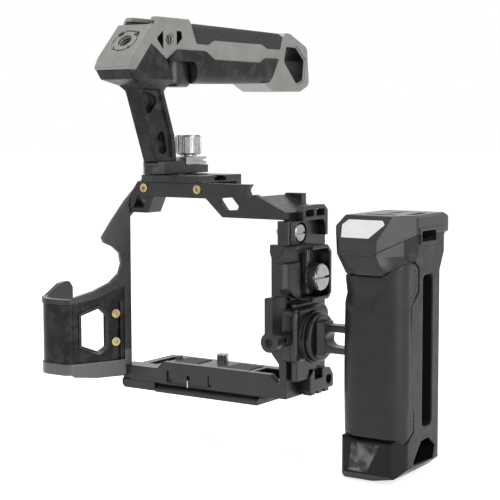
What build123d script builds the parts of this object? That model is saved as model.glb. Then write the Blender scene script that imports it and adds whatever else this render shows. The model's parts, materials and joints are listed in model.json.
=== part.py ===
from build123d import *

import math
import os

# ---------------------------------------------------------------------------------------------
# Camera cage kit: a frame bolted round a mirrorless camera, a top handle on a sliding shoe and a
# side handle on a quick-release rail clamp.  Millimetres, +Z up.
# X runs to the camera's own left hand, Y from the lens to the back, Z up.  The origin is the mouth
# of the tripod socket in the underside of the base plate, below the lens axis.
# ---------------------------------------------------------------------------------------------

# The camera that the cage closes round
camera_to_left = 56.0        # lens axis to the camera's left-hand side
camera_front = -18.0         # front face of the camera body
camera_height = 80.0         # base to shoulder
camera_gap = 0.4             # play between camera and cage
fit_gap = 0.3                # play between pieces that move past each other
slide_gap = 0.15             # play on each side of a guided slide
turn_gap = 0.05              # radial play of a shaft in its hole

# Base plate with its 38 mm dovetail
wall = 3.6
base_depth = 38.4
dovetail_lip = 1.6
dovetail_slope = 2.4
plate_underside = 5.0
seat_height = 12.5           # the face that the camera stands on
base_left = -38.0
dovetail_left = -21.0
dovetail_right = 43.0
lip_height = 3.9
lip_left = -15.7
lip_right = 50.7
tab_top = 6.6
panel_half_width = 13.0
panel_depth = 0.6
mark_hole_radius = 1.1

# Threads, drawn as plain holes of the minor diameter
quarter_radius = 2.6         # 1/4"-20
three_eighths_radius = 4.0   # 3/8"-16
socket_depth = 9.0           # three-eighths-inch socket of the top handle
second_socket_x = 22.0
third_socket_x = -15.5

# Camera screw
camera_screw_y = 9.8
camera_screw_radius = 3.15
camera_screw_head_radius = 5.0
camera_screw_head = 3.4
camera_screw_reach = 5.0
locating_pin_x = -26.0

# Side plate at the camera's left hand
side_back = 15.0
flange_width = 8.4
port_front = -16.0
port_back = 11.0
port_bottom = 57.0
port_top = 79.0

# Side rail, 21.2 mm wide
rail_width = 21.2
rail_neck = 15.6
rail_neck_height = 1.6
rail_flat = 0.6
rail_bevel = 1.5
rail_centre_y = -11.0
rail_bottom = 14.0
rail_top = 52.0
rail_screw_radius = 2.0

# Clamp on the side rail
clamp_bottom = 23.6
clamp_top = 50.6
clamp_front = -27.0
clamp_back = 5.0
clamp_corner = 5.0
clamp_outer = 69.0
clamp_round = 2.6
lever_x = 63.0
lever_z = 36.0
lever_front = -42.0
lever_boss_radius = 4.8
lever_boss_length = 5.5
lever_neck_radius = 3.4
lever_screw_radius = 1.7
lever_depth = 8.9
lever_thickness = 4.3
lever_length = 21.5

# Turning hub and flat arm
hub_centre_y = -10.5
hub_centre_z = 35.5
collar_radius = 13.2
collar_length = 2.0
hub_radius = 12.0
hub_length = 3.0
pivot_radius = 4.0
pivot_head_radius = 6.0
pivot_head = 1.6
arm_thickness = 8.6
arm_height = 14.0
arm_length = 29.0
arm_slot_height = 7.6
arm_slot_start = 2.2
arm_slot_length = 21.8

# Side handle
handle_inner = 92.0
handle_outer = 126.0
handle_front = -28.0
handle_back = 13.5
handle_top = 97.0
handle_bottom = -28.0
handle_seam = 69.7           # top of the leather
neck_top = 78.5              # underside of the cap at the front
cap_seam_rise = 9.5          # the two seams rise round the outer front corner
leather_seam_rise = 7.4
panel_front = -17.0          # front edge of the core's panel on the outer face, above the leather
core_back = 11.0             # back of the core, under the ribbed rubber
cap_flare = 2.5
base_top = -7.0
leather_thickness = 2.2
insert_thickness = 1.2
groove_front = -6.5
groove_back = 4.0
groove_bottom = -4.0
groove_depth = 7.0
lower_window_depth = 12.0
rib_pitch = 4.0
rib_depth = 0.7
back_grip_depth = 2.4
reach_bolt_radius = 2.0
reach_travel = 8.0

# Cable clamp
ring_outer = 72.0
ring_front = -14.8
ring_back = 1.2
ring_bottom = 53.6
ring_top = 80.4
ring_wall = 1.7
cable_knob_y = -7.4
cable_knob_z = 64.6
cable_knob_radius = 6.6
cable_knob_length = 5.8
cable_screw_radius = 2.0
crossbar_half_width = 5.0
cable_nose_front = -32.6
cable_nose_width = 6.6

# Strap-lug lock
lug_height = 11.6
lug_drop = 0.7               # top of the block below the camera's shoulder
lug_depth = 17.4
lug_proud = 2.4
lug_front_width = 7.5
lug_round = 2.0
lug_screw_radius = 4.5
lug_screw_shaft = 2.0
lug_screw_reach = 7.4        # how far the tip stands into the camera's side of the plate

# Top frame
beam_rise = 9.1              # shoulder to the underside of the beam
beam_height = 7.6
beam_left = -29.0
beam_right = 12.3
shoe_height = 3.4
shoe_left = -33.0
shoe_right = 8.0
shoe_back = 16.0
gold_screw_radius = 2.3
gold_screw_head = 1.6

# Grip wrap
wrap_start = (-40.0, -20.0)
wrap_front = -51.0
wrap_left = -80.0
wrap_thickness = 3.0
wrap_back = -18.0
wrap_frame = 1.6            # metal left round the window in the wall
wrap_bottom = 8.0
panel_inset = 0.7
panel_thickness = 1.5

# Top handle
top_centre_x = -24.0
top_width = 21.0
strut_width = 8.0
foot_width = 14.0
foot_front = -22.0
foot_back = 22.0
foot_height = 4.2
foot_collar = 2.4
tongue_width = 10.0
tongue_neck = 6.0
tongue_height = 2.0
clamp_plate_width = 11.0
clamp_plate_front = 3.5
clamp_plate_back = 21.5
clamp_plate_height = 4.0
knob_radius = 6.9
knob_length = 11.2
knob_y = 12.6
knob_screw_radius = 2.5
button_length = 19.0
button_width = 14.0
button_height = 14.0
button_travel = 1.0
strut_web = 1.0
cold_width = 18.7
cold_neck_width = 12.6
cold_depth = 2.1

# Derived places shared by several pieces
side_inner = camera_to_left + camera_gap
side_outer = side_inner + wall
front = camera_front - camera_gap - wall
base_back = front + base_depth
shoulder = seat_height + camera_height + camera_gap
beam_bottom = shoulder + beam_rise
beam_top = beam_bottom + beam_height
shoe_top = beam_top + shoe_height


# ---------------------------------------------------------------------------------------------
# Shape helpers
# ---------------------------------------------------------------------------------------------

def block(x0, x1, y0, y1, z0, z1):
    """Box between two corners."""
    return Pos((x0 + x1) / 2, (y0 + y1) / 2, (z0 + z1) / 2) * Box(x1 - x0, y1 - y0, z1 - z0)


def outline(points):
    """Closed flat face through (u, v) points; a third number rounds that corner."""
    face = make_face(Polyline(*[(p[0], p[1]) for p in points], close=True))
    for point in points:
        if len(point) == 3:
            corner = face.vertices().sort_by_distance((point[0], point[1], 0))[0]
            face = fillet(corner, point[2])
    return face


def slab(axis, points, low, high):
    """Outline extruded along an axis; its points lie on the other two axes, in X, Y, Z order."""
    face = outline(points)
    if axis == "x":
        return extrude(Plane.YZ.offset(low) * face, high - low)
    if axis == "y":
        return extrude(Plane.XZ.offset(-high) * face, high - low)
    return extrude(Plane.XY.offset(low) * face, high - low)


def rod(axis, radius, low, high, a, b):
    """Cylinder along an axis, centred at a and b on the other two axes, in X, Y, Z order."""
    if axis == "x":
        return extrude(Plane.YZ.offset(low) * Pos(a, b) * Circle(radius), high - low)
    if axis == "y":
        return extrude(Plane.XZ.offset(-high) * Pos(a, b) * Circle(radius), high - low)
    return extrude(Plane.XY.offset(low) * Pos(a, b) * Circle(radius), high - low)


def slot(axis, length, height, low, high, a, b):
    """Obround prism along an axis; length runs along the first of the other two axes."""
    shape = Pos(a, b) * SlotOverall(length, height)
    if axis == "x":
        return extrude(Plane.YZ.offset(low) * shape, high - low)
    if axis == "y":
        return extrude(Plane.XZ.offset(-high) * shape, high - low)
    return extrude(Plane.XY.offset(low) * shape, high - low)


def hexagon(axis, radius, low, high, a, b):
    """Hexagonal prism for a driver socket."""
    shape = Pos(a, b) * RegularPolygon(radius, 6)
    if axis == "x":
        return extrude(Plane.YZ.offset(low) * shape, high - low)
    if axis == "y":
        return extrude(Plane.XZ.offset(-high) * shape, high - low)
    return extrude(Plane.XY.offset(low) * shape, high - low)


def chamfer_rims(piece, axis, size):
    """Chamfer the round rims at both ends of a turned piece."""
    rims = piece.edges().filter_by(GeomType.CIRCLE).group_by(axis)
    return chamfer(rims[0] + rims[-1], size)


parts = {}


# ---------------------------------------------------------------------------------------------
# Frame: base plate
# ---------------------------------------------------------------------------------------------

base_front_outline = [
    (base_left, plate_underside),
    (side_outer, plate_underside),
    (side_outer, seat_height),
    (base_left, seat_height),
]
base = slab("y", base_front_outline, front, base_back)

# Raised lip in front of the camera
lip_outline = [
    (lip_left - lip_height, seat_height),
    (lip_left, seat_height + lip_height, 0.8),
    (lip_right, seat_height + lip_height, 0.8),
    (lip_right + lip_height, seat_height),
]
base += slab("y", lip_outline, front, front + wall)

# Recessed marking panel in the front face, with its two notches and centre mark
panel_outline = [
    (-panel_half_width, dovetail_lip + dovetail_slope + 1.6),
    (panel_half_width, dovetail_lip + dovetail_slope + 1.6),
    (panel_half_width, seat_height - 0.8),
    (-panel_half_width, seat_height - 0.8),
]
base -= slab("y", panel_outline, front, front + panel_depth)
for notch_x in (-panel_half_width, panel_half_width):
    base -= block(notch_x - 0.6, notch_x + 2.4, front, front + 1.6, 6.3, 7.5)
    base -= block(notch_x - 0.6, notch_x + 0.6, front, front + 1.6, 6.3, 11.9)
base -= rod("y", mark_hole_radius, front, front + 3.0, 0.0, 9.3)

# Weight-saving pockets in the seat, left and right of the screw block
for pocket_x0, pocket_x1 in ((-33.0, -27.5), (27.5, 50.0)):
    base -= block(pocket_x0, pocket_x1, front + 10.0, base_back - 6.0, plate_underside + 2.5, seat_height)

# 38 mm dovetail foot under the plate
foot_half = base_depth / 2
foot_mid = (front + base_back) / 2
dovetail_outline = [
    (foot_mid - foot_half, 0.0),
    (foot_mid + foot_half, 0.0),
    (foot_mid + foot_half, dovetail_lip),
    (foot_mid + foot_half - dovetail_slope, dovetail_lip + dovetail_slope),
    (foot_mid + foot_half - dovetail_slope, plate_underside),
    (foot_mid - foot_half + dovetail_slope, plate_underside),
    (foot_mid - foot_half + dovetail_slope, dovetail_lip + dovetail_slope),
    (foot_mid - foot_half, dovetail_lip),
]
foot = slab("x", dovetail_outline, dovetail_left, dovetail_right)
foot += block(dovetail_right, dovetail_right + 4.0, front + 3.0, base_back - 3.0, dovetail_lip + 1.4,
              plate_underside)

# Threaded holes and the camera screw's counterbore
for socket_x in (0.0, third_socket_x, second_socket_x):
    foot -= rod("z", quarter_radius, 0.0, plate_underside, socket_x, 0.0)
for long_x in (-14.0, 32.0):
    foot -= slot("z", 7.0, 3.4, 0.0, 1.2, long_x, 10.0)
foot -= rod("z", camera_screw_head_radius + 0.6, 0.0, plate_underside, 0.0, camera_screw_y)
base -= rod("z", camera_screw_head_radius + 0.6, plate_underside, plate_underside + 3.0, 0.0, camera_screw_y)
base -= rod("z", camera_screw_radius + turn_gap, plate_underside + 3.0, seat_height, 0.0, camera_screw_y)
parts["base_plate"] = base
parts["dovetail_foot"] = foot

# Captive camera screw: head under the plate, threaded tip above the seat
screw_top = plate_underside + 3.0 - fit_gap
camera_screw = rod("z", camera_screw_head_radius, screw_top - camera_screw_head, screw_top, 0.0, camera_screw_y)
camera_screw += rod("z", camera_screw_radius, screw_top, seat_height + camera_screw_reach, 0.0, camera_screw_y)
camera_screw = chamfer_rims(camera_screw, Axis.Z, 0.4)
camera_screw -= hexagon("z", 2.3, screw_top - camera_screw_head, screw_top - 1.4, 0.0, camera_screw_y)
parts["camera_screw"] = camera_screw

# Rubber pads on the seat
pads = None
for pad_x0, pad_x1 in ((-24.0, -9.0), (9.0, 24.0)):
    pad = block(pad_x0, pad_x1, front + 8.0, base_back - 4.0, seat_height, seat_height + camera_gap - 0.05)
    pads = pad if pads is None else pads + pad
parts["seat_pads"] = pads

# Locating pin beside the camera screw
parts["locating_pin"] = rod("z", 2.0, seat_height, seat_height + 2.2, locating_pin_x, 6.0)


# ---------------------------------------------------------------------------------------------
# Frame: side plate, its port opening and the front flange
# ---------------------------------------------------------------------------------------------

side_outline = [
    (front, seat_height),
    (side_back, seat_height),
    (side_back, shoulder - 6.9, 3.0),
    (side_back - 6.0, shoulder),
    (front, shoulder),
]
side = slab("x", side_outline, side_inner, side_outer)
port_outline = [
    (port_front, port_bottom, 2.0),
    (port_back, port_bottom, 2.0),
    (port_back, port_top - 3.0),
    (port_back - 3.0, port_top),
    (port_front + 3.0, port_top),
    (port_front, port_top - 3.0),
]
side -= slab("x", port_outline, side_inner - 1.0, side_outer + 1.0)

# Flange that folds round the camera's front edge
flange_outline = [
    (side_inner, seat_height),
    (side_outer - 1.2, seat_height),
    (side_outer, seat_height + 1.2),
    (side_outer, shoulder),
    (side_outer - flange_width, shoulder),
    (side_outer - flange_width - 1.0, shoulder - 15.9),
    (side_outer - flange_width, shoulder - 18.9),
    (side_outer - flange_width, seat_height + 14.5),
    (side_outer - 4.2, seat_height + 9.5),
    (side_inner, seat_height + 3.0),
]
side += slab("y", flange_outline, front, front + wall)

# Lock for the camera's strap lug: a block folded round the plate's front edge, with a slotted screw
lug_top = shoulder - lug_drop
lug_bottom = lug_top - lug_height
lug_front = front - 1.0
lug_outer = side_outer + lug_proud
lug_back = lug_front + lug_depth
lug_left = lug_outer - lug_front_width
lug_centre_y = lug_back - 6.4
lug_centre_z = (lug_bottom + lug_top) / 2 - 0.2
lug_seat = front + wall
side -= block(side_outer - flange_width - 2.0, side_outer, front, lug_seat, lug_bottom, shoulder)
lug_block = block(side_outer, lug_outer, lug_front, lug_back, lug_bottom, lug_top)
lug_block += block(lug_left, lug_outer, lug_front, lug_seat, lug_bottom, lug_top)
lug_rims = lug_block.edges().filter_by(Axis.Z).group_by(Axis.Y)[0]
lug_block = fillet(lug_rims, lug_round)
lug_block = fillet(lug_block.edges().filter_by(Axis.X).group_by(Axis.Y)[-1], lug_round)
lug_block -= rod("x", lug_screw_radius + 0.9, side_outer + 0.6, lug_outer, lug_centre_y, lug_centre_z)
lug_hole = rod("x", lug_screw_shaft + turn_gap, side_inner - 1.0, lug_outer, lug_centre_y, lug_centre_z)
lug_block -= lug_hole
side -= lug_hole
parts["side_plate"] = side
parts["lug_block"] = lug_block

lug_screw = rod("x", lug_screw_radius, side_outer + 0.9, lug_outer - 0.2, lug_centre_y, lug_centre_z)
lug_screw += rod("x", lug_screw_shaft, side_inner - lug_screw_reach, side_outer + 0.9, lug_centre_y, lug_centre_z)
lug_screw = chamfer_rims(lug_screw, Axis.X, 0.4)
lug_screw -= block(lug_outer - 1.1, lug_outer, lug_centre_y - 6.0, lug_centre_y + 6.0,
                   lug_centre_z - 0.5, lug_centre_z + 0.5)
parts["lug_screw"] = lug_screw

# Strap loop above the lug lock, with two bars
loop_foot = shoulder - 0.7
loop_top = shoulder + 6.5
loop_points = [
    (-12.8, loop_foot),
    (6.1, loop_foot),
    (8.2, loop_foot - 3.2),
    (8.2, loop_foot - 8.2),
    (10.6, loop_foot - 8.2),
    (10.6, loop_top - 2.8, 1.5),
    (7.0, loop_top, 1.5),
    (-9.6, loop_top, 1.5),
    (-12.8, loop_top - 2.8),
]
strap_loop = slab("x", loop_points, side_outer, side_outer + 4.2)
for slot_y0, slot_y1 in ((-10.6, -2.6), (-0.4, 7.4)):
    strap_loop -= block(side_outer - 1.0, side_outer + 5.0, slot_y0, slot_y1, loop_foot + 1.7, loop_top - 2.0)
parts["strap_loop"] = strap_loop

# Accessory foot block low on the side plate, with a quarter-inch socket facing outwards
foot_block_outer = 66.0
foot_block_outline = [
    (-9.0, 6.8),
    (13.2, 6.8, 1.2),
    (13.2, 12.8, 1.2),
    (10.0, 17.0, 1.2),
    (-6.0, 17.8),
    (-9.0, 15.0),
]
foot_block = slab("x", foot_block_outline, side_outer, foot_block_outer)
foot_block -= block(side_outer + 3.2, foot_block_outer, -5.0, 2.6, 12.8, 18.0)
foot_block_socket = rod("x", quarter_radius, side_outer, foot_block_outer, 8.6, 11.2)
foot_block -= foot_block_socket
parts["foot_block"] = foot_block

foot_stubs = None
for stub_y0, stub_y1 in ((-7.0, -3.0), (-0.4, 3.6), (6.0, 10.4)):
    stub = block(side_outer + 0.6, foot_block_outer - 1.0, stub_y0, stub_y1, plate_underside - 0.2, 6.8)
    foot_stubs = stub if foot_stubs is None else foot_stubs + stub
parts["foot_stubs"] = foot_stubs


# ---------------------------------------------------------------------------------------------
# Frame: side rail and cable clamp
# ---------------------------------------------------------------------------------------------

rail_x1 = side_outer + rail_neck_height
rail_x2 = rail_x1 + rail_bevel
rail_x3 = rail_x2 + rail_flat
rail_x4 = rail_x3 + rail_bevel
rail_half = rail_width / 2
neck_half = rail_neck / 2
rail_face = outline([
    (side_outer, rail_centre_y - neck_half),
    (rail_x1, rail_centre_y - neck_half),
    (rail_x2, rail_centre_y - rail_half),
    (rail_x3, rail_centre_y - rail_half),
    (rail_x4, rail_centre_y - rail_half + rail_bevel),
    (rail_x4, rail_centre_y + rail_half - rail_bevel),
    (rail_x3, rail_centre_y + rail_half),
    (rail_x2, rail_centre_y + rail_half),
    (rail_x1, rail_centre_y + neck_half),
    (side_outer, rail_centre_y + neck_half),
])
rail = extrude(Plane.XY.offset(rail_bottom) * rail_face, rail_top - rail_bottom)
foot_block_room = block(side_outer, rail_x4 + 1.0, -9.0, 14.0, rail_bottom - 1.0, 18.1)
rail -= foot_block_room
parts["side_rail"] = rail

cable_points = [
    (ring_front - 4.0, ring_bottom),
    (ring_back - 3.0, ring_bottom),
    (ring_back, ring_bottom + 3.0),
    (ring_back, ring_top - 3.6),
    (ring_back - 3.6, ring_top),
    (ring_front - 8.4, ring_top),
    (ring_front - 15.0, ring_top - 5.8),
    (ring_front - 15.0, ring_bottom + 7.0),
    (ring_front - 9.0, ring_bottom + 2.0),
]
cable_frame = slab("x", cable_points, side_outer, ring_outer)
cable_base = 3.0
mouth_front = cable_nose_front - 1.0
mouth_points = [
    (mouth_front, ring_bottom + ring_wall),
    (ring_back - 3.4, ring_bottom + ring_wall),
    (ring_back - ring_wall, ring_bottom + 3.6),
    (ring_back - ring_wall, ring_top - 4.2),
    (ring_back - 4.2, ring_top - ring_wall),
    (mouth_front, ring_top - ring_wall),
]
cable_frame -= slab("x", mouth_points, side_outer + cable_base, ring_outer + 1.0)
# the outer rim is bevelled away in front of the mouth
cable_bevel = outline([
    (67.0, ring_front - 16.0),
    (ring_outer + 1.0, ring_front - 16.0),
    (ring_outer + 1.0, ring_front + 1.0),
    (ring_outer, ring_front - 1.9),
    (67.0, ring_front - 10.4),
])
cable_frame -= extrude(Plane.XY.offset(ring_bottom - 1.0) * cable_bevel, ring_top - ring_bottom + 2.0)
cable_nose = block(side_outer, side_outer + cable_nose_width, cable_nose_front, ring_front - 4.6,
                   ring_bottom + 7.0, ring_top - 7.8)
cable_nose = chamfer(cable_nose.edges().filter_by(Axis.Z).group_by(Axis.Y)[0].sort_by(Axis.X)[-1], 2.0)
cable_frame += cable_nose
# window through the back of the frame beside the threaded bridge
for window_y0, window_y1 in ((ring_front, cable_knob_y - 3.4), (cable_knob_y + 3.4, ring_back - ring_wall)):
    cable_frame -= block(side_outer - 1.0, side_outer + cable_base + 0.1, window_y0, window_y1,
                         ring_bottom + 4.8, ring_top - 3.8)
cable_frame -= rod("x", cable_screw_radius + turn_gap, side_outer - 1.0, ring_outer, cable_knob_y, cable_knob_z)
nose_foot = [
    (ring_front - 4.0, ring_bottom),
    (ring_front - 9.0, ring_bottom + 2.0),
    (ring_front - 15.0, ring_bottom + 7.0),
    (ring_front - 15.0, ring_bottom + 7.4),
    (ring_front - 4.6, ring_bottom + 7.4),
]
cable_frame += slab("x", nose_foot, side_outer, side_outer + cable_nose_width)
lock_x = side_outer + 4.4
lock_z = ring_bottom + 1.8
lock_front = ring_front - 11.6
lock_back = ring_front - 6.0
lock_radius = 1.7
cable_frame -= rod("y", lock_radius, lock_front, lock_back, lock_x, lock_z)
parts["cable_frame"] = cable_frame

# Black lock screw under the nose
cable_lock = rod("y", lock_radius, lock_front, lock_back, lock_x, lock_z)
cable_lock = chamfer_rims(cable_lock, Axis.Y, 0.3)
cable_lock -= hexagon("y", 0.9, lock_front, lock_front + 1.2, lock_x, lock_z)
parts["cable_lock_screw"] = cable_lock

# Guide plate that presses on the cable, and the thumbscrew that drives it
jaw_plate_x = side_outer + cable_base + 0.3
cable_jaw = block(jaw_plate_x, jaw_plate_x + 1.8, cable_knob_y - 3.0, cable_knob_y + 3.0,
                  ring_bottom + ring_wall + 0.6, ring_top - ring_wall - 0.6)
cable_jaw -= rod("x", cable_screw_radius + turn_gap, jaw_plate_x - 1.0, jaw_plate_x + 3.0,
                 cable_knob_y, cable_knob_z)
parts["cable_jaw"] = cable_jaw

knob_x0 = jaw_plate_x + 1.8 + fit_gap
cable_knob = rod("x", cable_knob_radius, knob_x0 + 0.9, knob_x0 + 0.9 + cable_knob_length,
                 cable_knob_y, cable_knob_z)
cable_knob = chamfer_rims(cable_knob, Axis.X, 0.5)
cable_knob += rod("x", cable_knob_radius - 1.4, knob_x0, knob_x0 + 0.9, cable_knob_y, cable_knob_z)
cable_knob += rod("x", cable_screw_radius, side_inner + 2.0, knob_x0 + 0.1, cable_knob_y, cable_knob_z)
cable_knob_face = knob_x0 + 0.9 + cable_knob_length
cable_knob -= block(cable_knob_face - 1.6, cable_knob_face + 1.0, cable_knob_y - 8.0, cable_knob_y + 8.0,
                    cable_knob_z - 0.6, cable_knob_z + 0.6)
parts["cable_knob"] = cable_knob


# ---------------------------------------------------------------------------------------------
# Frame: top bridge and its sliding shoe
# ---------------------------------------------------------------------------------------------

wing_x = 43.0
bridge_outline = [
    (beam_left, beam_bottom),
    (beam_right, beam_bottom, 1.0),
    (beam_right + 10.2, shoulder, 1.0),
    (side_outer, shoulder),
    (side_outer, shoulder + 3.7),
    (wing_x - 1.5, beam_bottom + 2.8, 1.0),
    (wing_x - 4.1, beam_bottom + 1.2, 1.0),
    (wing_x - 5.8, beam_bottom + 4.8, 1.0),
    (wing_x - 3.8, beam_top),
    (beam_left, beam_top),
]
bridge = slab("y", bridge_outline, front, front + wall)
bridge_window = [
    (beam_right + 7.3, beam_bottom + 0.3, 0.8),
    (beam_right + 16.2, beam_bottom + 1.0, 0.8),
    (beam_right + 20.3, beam_bottom - 3.4, 0.8),
    (beam_right + 19.1, beam_bottom - 5.2, 0.8),
    (beam_right + 12.0, beam_bottom - 5.6, 0.8),
]
bridge -= slab("y", bridge_window, front - 1.0, front + wall + 1.0)

# Wing behind the front web, hollowed from below, with a short rib across it
wing_back = 8.0
wing = slab("y", [(wing_x, shoulder), (side_outer, shoulder), (side_outer, shoulder + 3.5),
                  (wing_x, beam_bottom + 1.8)], front + wall, wing_back)
wing_room = [
    (wing_x + 3.0, shoulder - 1.0),
    (side_outer - 4.0, shoulder - 1.0),
    (side_outer - 4.0, shoulder + 2.9),
    (wing_x + 3.0, shoulder + 6.7),
]
wing -= slab("y", wing_room, front + wall + 5.4, 0.0)
wing += block(wing_x, wing_x + 10.0, wing_back - 4.0, wing_back, shoulder + 4.0, beam_bottom + 2.6)
bridge += wing

# Arms that carry the shoe behind the front web
arm_drop = 4.0
bridge += block(beam_left, shoe_right, shoe_back - 4.0, shoe_back, beam_top - arm_drop, beam_top)
bridge += block(beam_left, beam_left + 8.0, front + wall, shoe_back, beam_top - arm_drop, beam_top)

beam_screws = (beam_left + 2.0, beam_right - 5.2)
beam_screw_z = beam_bottom + 4.4
screw_seat = 1.2
for screw_x in beam_screws:
    bridge -= rod("y", gold_screw_radius, front, front + screw_seat, screw_x, beam_screw_z)
parts["top_bridge"] = bridge

gold = None
for screw_x in beam_screws:
    head = rod("y", gold_screw_radius, front - 0.5, front + screw_seat, screw_x, beam_screw_z)
    head -= hexagon("y", 1.1, front - 0.5, front + 0.5, screw_x, beam_screw_z)
    gold = head if gold is None else gold + head
parts["beam_screws"] = gold

# Shoe: a rail along X with a T-slot, its front edge bowed
shoe_outline = [
    (shoe_left, -15.0),
    (-29.0, -21.4),
    (-20.0, -23.6),
    (-8.0, -24.2),
    (3.0, -23.2),
    (shoe_right, -20.4),
    (shoe_right, shoe_back),
    (shoe_left, shoe_back),
]
shoe = slab("z", shoe_outline, beam_top, shoe_top)
slot_centre_y = -3.0
groove_floor = beam_top + 0.6
groove_roof = shoe_top - 0.8
shoe -= block(shoe_left - 1.0, shoe_right + 1.0, slot_centre_y - tongue_width / 2 - fit_gap,
              slot_centre_y + tongue_width / 2 + fit_gap, groove_floor, groove_roof)
shoe -= block(shoe_left - 1.0, shoe_right + 1.0, slot_centre_y - tongue_neck / 2 - fit_gap,
              slot_centre_y + tongue_neck / 2 + fit_gap, groove_roof - 0.1, shoe_top + 1.0)
parts["top_shoe"] = shoe


# ---------------------------------------------------------------------------------------------
# Frame: wrap round the camera's grip
# ---------------------------------------------------------------------------------------------

# The wall runs forward from the lens side of the grip at an angle; (s, z) points lie in its plane
wall_angle = math.degrees(math.atan2(-0.894, -0.447))
wall_plane = Plane(
    origin=(wrap_start[0], wrap_start[1], 0.0),
    x_dir=(math.cos(math.radians(wall_angle)), math.sin(math.radians(wall_angle)), 0.0),
    z_dir=(math.sin(math.radians(wall_angle)), -math.cos(math.radians(wall_angle)), 0.0),
)
wall_end = 31.0
rim_height = 49.6
wall_outline = [
    (wall_end, wrap_bottom),
    (wall_end, rim_height),
    (18.9, 52.7),
    (10.1, 56.5),
    (5.0, 61.0),
    (3.4, 66.0),
    (4.4, 71.6),
    (8.4, 75.4),
    (13.1, 77.5, 0.8),
    (14.2, 80.2, 0.8),
    (8.6, 88.6),
    (0.4, 99.6),
    (-11.1, 111.6),
    (-11.1, 101.0),
    (-1.8, 91.0),
    (-1.8, wrap_bottom - 1.4),
    (18.0, wrap_bottom - 1.4),
]
wrap_wall = extrude(wall_plane * outline(wall_outline), wrap_thickness)
corner_hole = outline([(-0.6, 96.4), (-5.0, 96.6), (-5.6, 102.0)])
wrap_wall -= extrude(wall_plane * corner_hole, wrap_thickness)

# Outer shell from the end of the wall round the front and along the outer side
wall_dx = math.cos(math.radians(wall_angle))
wall_dy = math.sin(math.radians(wall_angle))


def on_wall(s, inward=0.0):
    """Plan position s along the wall and some way in from its outer face."""
    return (wrap_start[0] + s * wall_dx - inward * -wall_dy, wrap_start[1] + s * wall_dy - inward * wall_dx)


shell_corner = on_wall((wrap_start[1] - wrap_front) / -wall_dy)
shell_plan = [
    on_wall(6.0),
    (shell_corner[0], wrap_front, 6.0),
    (wrap_left + 2.0, wrap_front, 10.0),
    (wrap_left, wrap_back, 0.5),
    (wrap_start[0] + 6.0 * wall_dx, wrap_back),
]
shell_outer = outline(shell_plan)
shell_inner = offset(shell_outer, -wrap_thickness)
shell = extrude(Plane.XY.offset(wrap_bottom) * shell_outer, 58.0)
shell -= extrude(Plane.XY.offset(wrap_bottom - 1.0) * shell_inner, 60.0)
shell_keep = block(wrap_left - 1.0, -30.0, wrap_front - 1.0, -47.5, 0.0, 80.0)
shell_end = wrap_back - wrap_thickness - 1.0
shell_keep += block(wrap_left - 1.0, wrap_left + 13.0, wrap_front - 1.0, shell_end, 0.0, 80.0)
shell &= shell_keep
shell_cut = [
    (wrap_front - 2.0, rim_height - 1.0),
    (wrap_front + 8.0, rim_height - 0.4),
    (shell_end - 10.0, rim_height + 5.0, 4.0),
    (shell_end - 3.0, rim_height + 5.6, 2.4),
    (shell_end, rim_height + 2.0),
    (shell_end + 1.0, 90.0),
    (wrap_front - 2.0, 90.0),
]
shell -= slab("x", shell_cut, wrap_left - 5.0, -30.0)
shell_floor_cut = [
    (shell_end + 1.0, wrap_bottom + 6.0),
    (shell_end, wrap_bottom + 6.0),
    (-38.0, wrap_bottom + 1.5),
    (wrap_front - 2.0, wrap_bottom + 1.0),
    (wrap_front - 2.0, 0.0),
    (shell_end + 1.0, 0.0),
]
shell -= slab("x", shell_floor_cut, wrap_left - 5.0, -30.0)
wrap = wrap_wall + shell

# Window in the wall and the shallow bed for the carbon panel
window_points = [(26.4, 24.2), (16.8, 20.4), (13.1, 22.9), (13.1, 39.7), (16.8, 43.2), (26.4, 40.0)]
window = outline(window_points)
wrap -= extrude(wall_plane * window, wrap_thickness + 1.0)
window_mouth = extrude(wall_plane * offset(window, 0.7), 0.7)
wrap -= window_mouth
window_frame = extrude(wall_plane * offset(window, wrap_frame), wrap_thickness + 1.0)

panel_top = [(2.0, 54.0), (10.0, 50.8), (19.0, 48.0), (wall_end, 46.2)]
panel_bottom = [(wall_end, 15.0), (19.0, 15.0), (2.0, 15.3)]
bed = extrude(wall_plane * outline(panel_top + panel_bottom), panel_thickness + panel_inset) - window_frame
bed_band_outer = extrude(Plane.XY.offset(15.0) * shell_outer, 31.2)
bed_band_inner = extrude(Plane.XY.offset(14.0) * offset(shell_outer, -panel_thickness - panel_inset), 34.0)
bed_front = (bed_band_outer - bed_band_inner) & block(wrap_left - 1.0, -30.0, wrap_front - 1.0, -47.5, 0.0, 80.0)
bed_side = (bed_band_outer - bed_band_inner) & block(wrap_left - 1.0, wrap_left + 13.0, -48.0, shell_end - 3.4,
                                                     0.0, 80.0)
bed_all = (bed & wrap) + (bed_front & wrap) + (bed_side & wrap)
wrap -= bed_all

# Carbon panel filling the bed, set in from the face of the metal
panel_skin = extrude(wall_plane * outline(panel_top + panel_bottom), panel_inset)
shell_skin = bed_band_outer - extrude(Plane.XY.offset(14.0) * offset(shell_outer, -panel_inset), 34.0)
grip_panel = bed_all - panel_skin - shell_skin

wrap_screws = [(7.1, 40.0), (7.2, 25.1)]
wrap_heads = None
for screw_s, screw_z in wrap_screws:
    seat_plane = Plane(
        origin=(on_wall(screw_s)[0], on_wall(screw_s)[1], screw_z),
        x_dir=(wall_dx, wall_dy, 0.0),
        z_dir=wall_plane.z_dir,
    )
    seat = extrude(seat_plane * Circle(gold_screw_radius), panel_thickness + panel_inset)
    grip_panel -= seat
    head = seat - extrude(seat_plane * RegularPolygon(1.1, 6), 1.0)
    wrap_heads = head if wrap_heads is None else wrap_heads + head
parts["wrap_screws"] = wrap_heads
parts["grip_panel"] = grip_panel

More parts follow.
